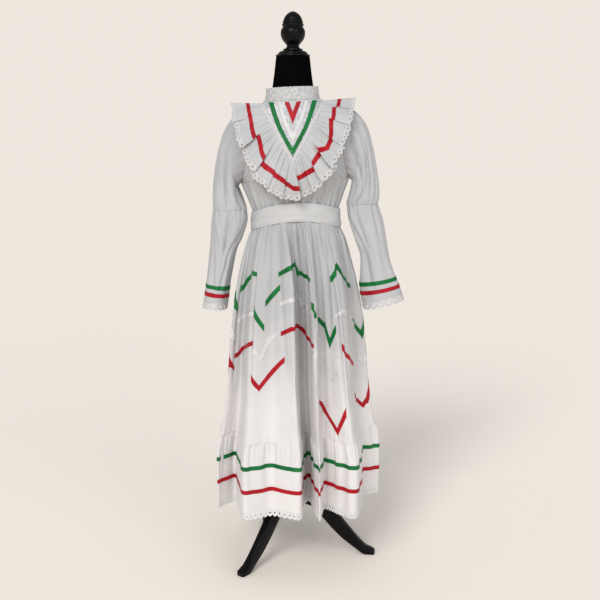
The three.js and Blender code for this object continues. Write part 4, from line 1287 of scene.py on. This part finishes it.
def sleeve_cloth(name):
    sleeve = SLEEVES[name]
    end = UPPER_LAST if "upper" in name else CUFF_AT
    turn, v = spread(around(SLEEVE_COLUMNS_ROUND), np.linspace(0, end, SLEEVE_ROWS))
    return shell(f"sleeve_{name}", sleeve.point(turn, v), closed=True)


def cuff_ribbon(name, side, row):
    sleeve = SLEEVES[f"lower_{side}"]
    ends = np.array([0.0, math.pi])
    section = sleeve.smooth(ends, row + 0.5) - sleeve.smooth(ends, row - 0.5)
    length = np.linalg.norm(section) / math.sqrt(2)
    half = RIBBON_WIDTH / 2 / length
    turn, v = spread(around(SLEEVE_COLUMNS_ROUND), np.linspace(row - half, row + half, 5))
    return shell(name, sleeve.cloth.at(turn, v, RIBBON_LIFT), RIBBON_WALL, closed=True)


def cuff_lace(side):
    sleeve = SLEEVES[f"lower_{side}"]

    def at(along, down, lift):
        turn = along * TURN / CUFF_SCALLOPS
        return sleeve.cloth.at(turn, CUFF_AT + 0.02 + 0.98 * down, lift)

    return lace_strip(f"cuff_lace_{side}", at, CUFF_SCALLOPS, True, CUFF_LACE_DROP)


# Dress form and stand
FORM = table("height wide front back shift", [
    (FORM_BOTTOM, 134, 93, 90, 5),
    (940, 134, 95, 92, 5),
    (1020, 118, 90, 86, 6),
    (1090, 109, 88, 82, 6),
    (1180, 136, 101, 90, 5),
    (1250, 146, 104, 92, 5),
    (1330, 150, 82, 78, 4),
    (1362, 142, 68, 66, 3),
    (1384, 108, 62, 60, 1),
    (1402, 74, 58, 58, 0),
    (1425, 64, 58, 57.6, 0),
    (1450, 61.5, 57, 56.6, 0),
    (1490, 56, 54, 54, 0),
    (NECK_TOP, 50, 50, 50, 0),
])
CAP_PROFILE = [
    (0, NECK_TOP + SEAM),
    (49, NECK_TOP + SEAM),
    (51, 1543),
    (51, 1545),
    (50, 1547),
    (44.5, 1549),
    (43, 1551),
    (42.6, 1553.4),
    (40, 1555),
    (38.4, 1556.6),
    (31, 1558.6),
    (29, 1560),
    (28.6, 1562.4),
    (28, 1564),
    (0, 1564),
]
FINIAL_PROFILE = [
    (0, 1564.3),
    (21, 1564.3),
    (22, 1565.4),
    (21, 1567.5),
    (18.4, 1570),
    (18.2, 1572.5),
    (19, 1575),
    (22.4, 1579.5),
    (27.4, 1585),
    (31.6, 1591),
    (34.6, 1598),
    (36, 1605),
    (36.2, 1611),
    (35.4, 1617),
    (33.2, 1622.5),
    (30.4, 1625.4),
    (29.6, 1627),
    (30, 1628.6),
    (31.6, 1630.4),
    (32.2, 1633),
    (31.6, 1636),
    (29.4, 1637.6),
    (30.2, 1640),
    (29.2, 1645),
    (27, 1646.6),
    (27.4, 1649),
    (25, 1654.4),
    (21.4, 1660),
    (16.4, 1665),
    (10.4, 1669),
    (5, 1671.4),
    (0, 1672),
]
HUB_PROFILE = [
    (0, 140),
    (17, 140),
    (22, 141.5),
    (28, 145),
    (32.4, 149.5),
    (34, 154),
    (34, 165),
    (33, 167),
    (34, 169),
    (34, 190),
    (33, 192),
    (34, 194),
    (34, 200),
    (32.6, 204),
    (28.6, 208.4),
    (24, 210.5),
    (21.6, 212.4),
    (20, 215),
    (0, 215),
]
POLE_PROFILE = [
    (0, POLE_BOTTOM),
    (POLE_RADIUS - 1, POLE_BOTTOM),
    (POLE_RADIUS, POLE_BOTTOM + 1),
    (POLE_RADIUS, FORM_BOTTOM - SEAM),
    (0, FORM_BOTTOM - SEAM),
]
TURNED_PARTS = {
    "neck_cap": CAP_PROFILE,
    "finial": FINIAL_PROFILE,
    "stand_hub": HUB_PROFILE,
    "stand_pole": POLE_PROFILE,
}
LEG = table("reach height half_width half_height lean", [
    (34.3, 176, 12, 17, 0),
    (66, 168, 12, 17, 0.4),
    (100, 144, 12, 17, 0.9),
    (135, 104, 12, 16, 1),
    (170, 66, 12, 15, 0.9),
    (205, 34, 13, 13, 0.6),
    (232, 13, 14, 13, 0.2),
    (260, 8, 13, 8, 0),
])


def start_part(name):
    """An empty mesh in edit mode, made from a plane whose faces are all taken off."""
    bpy.ops.object.select_all(action="DESELECT")
    bpy.ops.mesh.primitive_plane_add(size=2 * MM, location=(0, 0, 0))
    part = bpy.context.object
    part.name = name
    part.data.name = name
    bpy.ops.object.mode_set(mode="EDIT")
    return part


def end_part(part, finish, replaces, sharp=HARD_SHARP):
    bpy.ops.mesh.select_all(action="SELECT")
    bpy.ops.mesh.remove_doubles(threshold=0.01 * MM)
    bpy.ops.mesh.normals_make_consistent(inside=False)
    bpy.ops.object.mode_set(mode="OBJECT")
    bpy.ops.object.transform_apply(location=True, rotation=True, scale=True)
    shade(part.data, sharp)
    part.data.materials.append(finish)
    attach(part, BODY)
    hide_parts(*replaces)
    return part


def turned(name, profile, finish):
    """A turned piece: a point drawn along half its outline, then spun round the pole."""
    part = start_part(name)
    bpy.ops.mesh.merge(type="CENTER")
    first = placed((profile[0][0], 0, profile[0][1]))
    bpy.ops.transform.translate(value=tuple(first))
    for (radius, height), (past_radius, past_height) in zip(profile, profile[1:]):
        step = ((past_radius - radius) * MM, 0, (past_height - height) * MM)
        bpy.ops.mesh.extrude_region_move(TRANSFORM_OT_translate={"value": step})
    bpy.ops.mesh.select_all(action="SELECT")
    bpy.ops.mesh.spin(steps=TURNED_SIDES, angle=TURN, center=tuple(AXIS), axis=(0, 0, 1))
    return end_part(part, finish, [name])


def bridge_and_cap():
    """Joins the outlines in edit mode one to the next, and closes both ends."""
    bpy.ops.mesh.select_all(action="SELECT")
    bpy.ops.mesh.bridge_edge_loops()
    bpy.ops.mesh.select_all(action="DESELECT")
    bpy.ops.mesh.select_mode(type="EDGE")
    bpy.ops.mesh.select_non_manifold()
    bpy.ops.mesh.edge_face_add()
    bpy.ops.mesh.select_mode(type="VERT")


def form_torso(finish):
    """Rings of the form, laid one above another and bridged, then capped."""
    part = start_part("form_torso")
    bpy.ops.mesh.delete(type="VERT")
    for height in np.linspace(FORM_BOTTOM, NECK_TOP, FORM_RINGS):
        wide, front, back, shift = (float(read(FORM, "height", name, height)) for name in SHAPE_NAMES)
        spot = placed((shift, (back - front) / 2, height))
        bpy.ops.mesh.primitive_circle_add(vertices=FORM_SIDES, radius=wide * MM, location=tuple(spot))
        narrower = (front + back) / 2 / wide
        bpy.ops.transform.resize(value=(1, narrower, 1), center_override=tuple(spot))
    bridge_and_cap()
    return end_part(part, finish, ["form_torso"], sharp=CLOTH_SHARP)


def leg_section(reach):
    """Height, half sizes and lean of the leg's section at a distance from the pole."""
    return [float(read(LEG, "reach", name, reach)) for name in LEG if name != "reach"]


def stand_leg(number, angle, finish):
    """Upright oblongs along the leg's curve, bridged, capped, turned and with rounded edges."""
    name = f"stand_leg_{number}"
    part = start_part(name)
    bpy.ops.mesh.delete(type="VERT")
    for reach in np.linspace(LEG["reach"][0], LEG["reach"][-1], LEG_RINGS):
        height, half_width, half_height, lean = leg_section(reach)
        height = max(height, half_height)
        slanted = half_height * math.sqrt(1 + lean**2)
        spot = tuple(MM * np.array((reach, 0, height)))
        bpy.ops.mesh.primitive_plane_add(
            size=2 * slanted * MM, location=spot, rotation=(0, math.pi / 2 + math.atan(lean), 0)
        )
        bpy.ops.transform.resize(value=(1, half_width / slanted, 1), center_override=spot)
        bpy.ops.mesh.delete(type="ONLY_FACE")
    bridge_and_cap()
    part.location = tuple(AXIS)
    part.rotation_euler = (0, 0, math.radians(angle - 90))
    end_part(part, finish, [name])
    rounding = part.modifiers.new("rounding", "BEVEL")
    rounding.width = LEG_ROUNDING * MM
    rounding.segments = 3
    rounding.limit_method = "ANGLE"
    rounding.angle_limit = math.radians(40)
    bpy.ops.object.modifier_apply(modifier=rounding.name)
    shade(part.data, HARD_SHARP)


# Finishes
class Socket:
    """One output of a node, so that sums on it read as plain expressions."""

    def __init__(self, finish, output):
        self.finish = finish
        self.output = output

    def maths(self, operation, first, second=0.0):
        return self.finish.node("ShaderNodeMath", {"operation": operation}, {0: first, 1: second})

    def __add__(self, other):
        return self.maths("ADD", self, other)

    __radd__ = __add__

    def __sub__(self, other):
        return self.maths("SUBTRACT", self, other)

    def __rsub__(self, other):
        return self.maths("SUBTRACT", other, self)

    def __mul__(self, other):
        return self.maths("MULTIPLY", self, other)

    __rmul__ = __mul__

    def sine(self):
        return self.maths("SINE", self)


class Finish:
    """A material: node() adds a node with its settings, then its values or links."""

    def __init__(self, name):
        self.material = bpy.data.materials.new(name)
        self.material.use_nodes = True
        self.tree = self.material.node_tree
        self.shader = self.tree.nodes["Principled BSDF"]

    def node(self, kind, settings=None, inputs=None, output=0):
        node = self.tree.nodes.new(kind)
        for key, value in (settings or {}).items():
            setattr(node, key, value)
        self.fill(node, inputs or {})
        return Socket(self, node.outputs[output])

    def fill(self, node, inputs):
        for key, value in inputs.items():
            if isinstance(value, Socket):
                self.tree.links.new(value.output, node.inputs[key])
            else:
                node.inputs[key].default_value = value

    def surface(self, **inputs):
        named = {key.replace("_", " ").title().replace("Ior", "IOR"): v for key, v in inputs.items()}
        self.fill(self.shader, named)
        return self.material

    def place(self, kind):
        return self.node("ShaderNodeTexCoord", output=kind)

    def stretched(self, kind, scale):
        return self.node("ShaderNodeMapping", None, {"Vector": self.place(kind), "Scale": scale})

    def parts(self, vector):
        """The three numbers of a vector."""
        split = self.node("ShaderNodeSeparateXYZ", None, {0: vector})
        return [Socket(self, output) for output in split.output.node.outputs]

    def noise(self, vector, scale, detail=2.0, roughness=0.5):
        return self.node(
            "ShaderNodeTexNoise", None,
            {"Vector": vector, "Scale": scale, "Detail": detail, "Roughness": roughness},
        )

    def mix(self, share, first, second, blend="MIX"):
        """A colour between two colours."""
        return self.node(
            "ShaderNodeMix", {"data_type": "RGBA", "blend_type": blend},
            {0: share, 6: first, 7: second}, output=2,
        )

    def between(self, value, low, high):
        """0 below low, 1 above high, with a soft change in between."""
        return self.node(
            "ShaderNodeMapRange", {"interpolation_type": "SMOOTHSTEP"},
            {"Value": value, "From Min": low, "From Max": high},
        )

    def bump(self, height, strength, distance, normal=None):
        inputs = {"Height": height, "Strength": strength, "Distance": distance}
        if normal is not None:
            inputs["Normal"] = normal
        return self.node("ShaderNodeBump", None, inputs)


def threads(finish, pitch):
    """A plain weave on the piece's own map: warp and weft crossing, in metres."""
    along, down, _ = finish.parts(finish.place("UV"))
    rate = TURN / pitch
    return (along * rate).sine() * (down * rate).sine()


def crumple(finish, strength):
    """Small soft creases of worn cotton."""
    place = finish.place("Object")
    coarse = finish.noise(place, 26, 2.0, 0.5)
    fine = finish.noise(place, 95, 3.0, 0.55)
    return finish.bump(coarse * 0.7 + fine * 0.3, strength, 3 * MM)


def cotton_finish(name, low, high):
    """Woven cotton, of one colour below the knee and another above the waist; the darker colour above is
    painted shade for the dimmer light on the upper dress, and in part the black form seen through the thin
    cloth.
    """
    finish = Finish(name)
    place = finish.place("Object")
    _, _, height = finish.parts(place)
    mottle = finish.noise(place, 9, 3.0)
    # Painted shade: the colour goes from low to high with height, greyer above the waist where less light
    # falls.
    colour = finish.mix(finish.between(height, 0.42, 0.92), low, high)
    worn = finish.mix(1.0, colour, (0.93, 0.925, 0.94, 1), "MULTIPLY")
    colour = finish.mix(finish.between(mottle, 0.35, 0.7), colour, worn)
    slubs = finish.noise(finish.stretched("UV", (60, 900, 1)), 1.0)
    weave = threads(finish, 0.9 * MM)
    normal = finish.bump(weave * 0.6 + slubs * 0.4, 0.12, 0.3 * MM, crumple(finish, 0.22))
    return finish.surface(
        base_color=colour, roughness=0.82 + 0.08 * mottle, sheen_weight=0.12, sheen_roughness=0.5,
        normal=normal,
    )


def lace_finish(name, pale, deep, flowered):
    """Net and satin-stitched flowers; flowered is how much the flowers darken."""
    finish = Finish(name)
    place = finish.place("UV")
    cells = finish.node(
        "ShaderNodeTexVoronoi", {"feature": "DISTANCE_TO_EDGE"}, {"Vector": place, "Scale": 420.0}
    )
    web = finish.between(cells, 0.02, 0.22)
    flowers = finish.between(finish.noise(finish.place("Object"), 130, 2.0), 0.4, 0.62)
    colour = finish.mix(web * 0.5, pale, deep)
    shaded = finish.mix(1.0, colour, (0.72, 0.725, 0.74, 1), "MULTIPLY")
    colour = finish.mix(flowers * flowered, colour, shaded)
    normal = finish.bump(1 - web, 0.5, 0.6 * MM, crumple(finish, 0.15))
    return finish.surface(base_color=colour, roughness=0.9, sheen_weight=0.1, normal=normal)


def satin_finish(name, colour, deep, roughness):
    finish = Finish(name)
    along, _, _ = finish.parts(finish.place("UV"))
    ribs = (along * (TURN / (0.8 * MM))).sine()
    mottle = finish.noise(finish.place("Object"), 34, 2.0)
    tint = finish.mix(finish.between(mottle, 0.3, 0.75), colour, deep)
    selvedge = finish.noise(finish.place("UV"), 900, 1.0)
    normal = finish.bump(ribs * 0.7 + selvedge * 0.3, 0.15, 0.2 * MM, crumple(finish, 0.12))
    return finish.surface(
        base_color=tint, roughness=roughness + 0.1 * mottle, specular_ior_level=0.25, normal=normal,
    )


def sequin_finish():
    finish = Finish("sequins")
    mottle = finish.noise(finish.place("Object"), 210, 1.0)
    warm = finish.mix(finish.between(mottle, 0.35, 0.5), (0.54, 0.60, 0.66, 1), (0.66, 0.60, 0.64, 1))
    tint = finish.mix(finish.between(mottle, 0.55, 0.7), warm, (0.56, 0.66, 0.60, 1))
    return finish.surface(base_color=tint, metallic=0.4, roughness=0.36 + 0.14 * mottle)


def jersey_finish():
    finish = Finish("black jersey")
    place = finish.place("Object")
    fuzz = finish.noise(place, 700, 2.0)
    tint = finish.mix(finish.noise(place, 30, 2.0), (0.0015, 0.0015, 0.0018, 1), (0.004, 0.004, 0.0045, 1))
    return finish.surface(base_color=tint, roughness=0.88 + 0.08 * fuzz, specular_ior_level=0.0,
                          normal=finish.bump(fuzz, 0.25, 0.4 * MM))


def lacquer_finish():
    finish = Finish("black lacquered wood")
    grain = finish.noise(finish.stretched("Object", (90, 90, 14)), 1.0, 4.0, 0.6)
    wear = finish.noise(finish.place("Object"), 60, 3.0)
    tint = finish.mix(
        finish.between(wear, 0.5, 0.8), (0.0012, 0.0012, 0.0012, 1), (0.005, 0.0045, 0.004, 1)
    )
    return finish.surface(base_color=tint, roughness=0.26 + 0.2 * wear,
                          specular_ior_level=0.16, normal=finish.bump(grain, 0.12, 0.4 * MM))


# Painted shade: the sleeves, the yoke and ruffle, and the sash are the same white cotton as the skirt, each
# given a greyer colour for the light it gets.
COTTON = cotton_finish("white cotton", (0.78, 0.755, 0.745, 1), (0.50, 0.503, 0.506, 1))
SHADED_COTTON_SLEEVE = cotton_finish("white cotton with painted shade for the sleeves", (0.58, 0.582, 0.592, 1),
                              (0.52, 0.522, 0.532, 1))
SHADED_COTTON_RUFFLE = cotton_finish("white cotton with painted shade for the ruffle", (0.56, 0.562, 0.565, 1),
                              (0.56, 0.562, 0.565, 1))
SHADED_COTTON_SASH = cotton_finish("white cotton with painted shade for the sash", (0.60, 0.60, 0.60, 1),
                            (0.60, 0.60, 0.60, 1))
EYELET_LACE = lace_finish("eyelet lace", (0.80, 0.79, 0.78, 1), (0.66, 0.66, 0.66, 1), 0.15)
RUFFLE_LACE = lace_finish("ruffle lace", (0.70, 0.69, 0.685, 1), (0.54, 0.54, 0.54, 1), 0.4)
COLLAR_LACE = lace_finish("grey collar lace", (0.70, 0.695, 0.69, 1), (0.46, 0.46, 0.465, 1), 0.8)
GREEN_SATIN = satin_finish("green satin", (0.001, 0.175, 0.036, 1), (0.001, 0.115, 0.024, 1), 0.5)
RED_SATIN = satin_finish("red satin", (0.46, 0.002, 0.012, 1), (0.33, 0.002, 0.009, 1), 0.5)
WHITE_SATIN = satin_finish("white satin", (0.72, 0.71, 0.705, 1), (0.62, 0.615, 0.62, 1), 0.42)
SEQUINS = sequin_finish()
BLACK_JERSEY = jersey_finish()
BLACK_LACQUER = lacquer_finish()


# The dress
SATINS = {"green": GREEN_SATIN, "white": WHITE_SATIN, "red": RED_SATIN}


def satin_piece(name, mesh, colour, replaced):
    return piece(name, mesh, SATINS[colour], replaced)


for side in ("front", "back"):
    piece(f"skirt_cloth_{side}", skirt_panel(side), COTTON, [f"skirt_{side}"])
    piece(
        f"flounce_cloth_{side}", flounce_panel(side), COTTON, [f"flounce_{side}"]
    )
    piece(f"bodice_cloth_{side}", bodice_panel(side), COTTON, [f"bodice_{side}"])
hem = piece("hem_lace", hem_lace(), EYELET_LACE, ["hem_lace_front", "hem_lace_back"])
for colour in ("green", "red", "white"):
    name = f"skirt_zigzag_{colour}"
    replaced = [] if colour == "white" else [f"skirt_ribbon_{colour}"]
    satin_piece(name, zigzag_ribbon(name, colour), colour, replaced)
skirt_glitter = piece("skirt_sequins", skirt_sequins(), SEQUINS)
for colour, height in (("green", FLOUNCE_GREEN), ("red", FLOUNCE_RED)):
    name = f"flounce_band_{colour}"
    band = flounce_ribbon(name, height)
    satin_piece(name, band, colour, [f"flounce_ribbon_{colour}"])

yoke = piece("yoke_cloth", yoke_panel(), SHADED_COTTON_RUFFLE, ["yoke_front"])
for colour, (half, tip, width, bow) in YOKE_RIBBONS.items():
    name = f"yoke_v_{colour}"
    band = yoke_band(name, half, YOKE_RIBBON_TOP, tip, width, YOKE_RIBBON_LIFT, RIBBON_WALL, bow)
    satin_piece(name, band, colour, [f"yoke_ribbon_{colour}"])
braid = yoke_band("yoke_braid", YOKE_HALF_WIDTH, BRAID_TOP, BRAID_TIP, BRAID_WIDTH, BRAID_LIFT,
                  THIN_CLOTH, ridges=2)
yoke_braid = piece("yoke_braid", braid, RUFFLE_LACE, ["yoke_edge_trim"])
yoke_glitter = piece("yoke_sequins", yoke_sequins(), SEQUINS)

ruffle = piece("ruffle_cloth", ruffle_cloth(), SHADED_COTTON_RUFFLE, ["yoke_ruffle"])
ruffle_band = satin_piece("ruffle_band_red", ruffle_ribbon(), "red", ["yoke_ruffle_ribbon"])
ruffle_edge = piece("ruffle_lace", ruffle_lace(), RUFFLE_LACE, ["yoke_ruffle_lace"])
stand_collar = piece("collar_cloth", collar(), COLLAR_LACE, ["collar_stand"])
waist_sash = piece("sash_cloth", sash(), SHADED_COTTON_SASH, ["sash"])

sleeves = {
    name: piece(f"sleeve_cloth_{name}", sleeve_cloth(name), SHADED_COTTON_SLEEVE, [f"sleeve_{name}"])
    for name in SLEEVES
}
cuffs = {}
for side in ("left", "right"):
    cuffs[side] = []
    for colour, row in (("green", CUFF_GREEN), ("red", CUFF_RED)):
        name = f"cuff_band_{colour}_{side}"
        band = cuff_ribbon(name, side, row)
        cuffs[side].append(satin_piece(name, band, colour, [f"cuff_ribbon_{colour}_{side}"]))
    edging = piece(f"cuff_edging_{side}", cuff_lace(side), RUFFLE_LACE,
                   [f"cuff_lace_{side}_a", f"cuff_lace_{side}_b"])
    cuffs[side].append(edging)

# The dress form and its stand
form_torso(BLACK_JERSEY)
for name, profile in TURNED_PARTS.items():
    turned(name, profile, BLACK_LACQUER)
for number, angle in enumerate(LEG_ANGLES, start=1):
    stand_leg(number, angle, BLACK_LACQUER)


# Floor, light and camera
BACKGROUND = (0.855, 0.797, 0.733)
SKY = (0.40, 0.405, 0.415)
KEY = dict(strength=1.6, tilt=57, turn=-20, softness=24, colour=(1.0, 0.995, 0.985))
FILL = dict(strength=0.6, tilt=72, turn=32, softness=40, colour=(0.97, 0.985, 1.0))
CAMERA_PLACE = (0.021, -3.0, 1.30)
CAMERA_LOOKS_DOWN = math.radians(9.25)
CAMERA_LENS = 59.16
FLOOR_SIZE = 60


def sun(name, strength, tilt, turn, softness, colour):
    """A far light; its tilt from straight down, turn and softness are in degrees."""
    light = bpy.data.lights.new(name, "SUN")
    light.energy = strength
    light.angle = math.radians(softness)
    light.color = colour
    thing = bpy.data.objects.new(name, light)
    thing.rotation_euler = (math.radians(tilt), 0, math.radians(turn))
    bpy.context.scene.collection.objects.link(thing)


def floor():
    """A pale floor whose lit colour meets the colour behind it."""
    finish = Finish("pale floor")
    suns = [light["strength"] * math.cos(math.radians(light["tilt"])) for light in (KEY, FILL)]
    level = sum(suns) / math.pi
    tone = [seen / (light + level) for seen, light in zip(BACKGROUND, SKY)]
    speckle = finish.noise(finish.place("Object"), 40, 2.0)
    paler = [value * 1.004 for value in tone]
    colour = finish.mix(speckle, (*tone, 1), (*paler, 1))
    bpy.ops.object.select_all(action="DESELECT")
    bpy.ops.mesh.primitive_plane_add(size=FLOOR_SIZE)
    plane = bpy.context.object
    plane.name = "floor"
    plane.data.materials.append(finish.surface(base_color=colour, roughness=1.0, specular_ior_level=0.0))


def backdrop():
    """Soft studio light all round, and one plain colour behind the dress."""
    world = bpy.data.worlds.new("studio")
    bpy.context.scene.world = world
    world.use_nodes = True
    tree = world.node_tree
    light = tree.nodes["Background"]
    light.inputs["Color"].default_value = (*SKY, 1)
    seen = tree.nodes.new("ShaderNodeBackground")
    seen.inputs["Color"].default_value = (*BACKGROUND, 1)
    rays = tree.nodes.new("ShaderNodeLightPath")
    mix = tree.nodes.new("ShaderNodeMixShader")
    tree.links.new(rays.outputs["Is Camera Ray"], mix.inputs[0])
    tree.links.new(light.outputs[0], mix.inputs[1])
    tree.links.new(seen.outputs[0], mix.inputs[2])
    tree.links.new(mix.outputs[0], tree.nodes["World Output"].inputs["Surface"])


def camera():
    lens = bpy.data.cameras.new("camera")
    lens.lens = CAMERA_LENS
    lens.sensor_width = 36
    thing = bpy.data.objects.new("camera", lens)
    thing.location = tuple(AXIS + np.array(CAMERA_PLACE))
    thing.rotation_euler = (math.pi / 2 - CAMERA_LOOKS_DOWN, 0, 0)
    bpy.context.scene.collection.objects.link(thing)
    bpy.context.scene.camera = thing


floor()
backdrop()
sun("key", **KEY)
sun("fill", **FILL)
camera()
bpy.context.scene.view_settings.view_transform = "Standard"
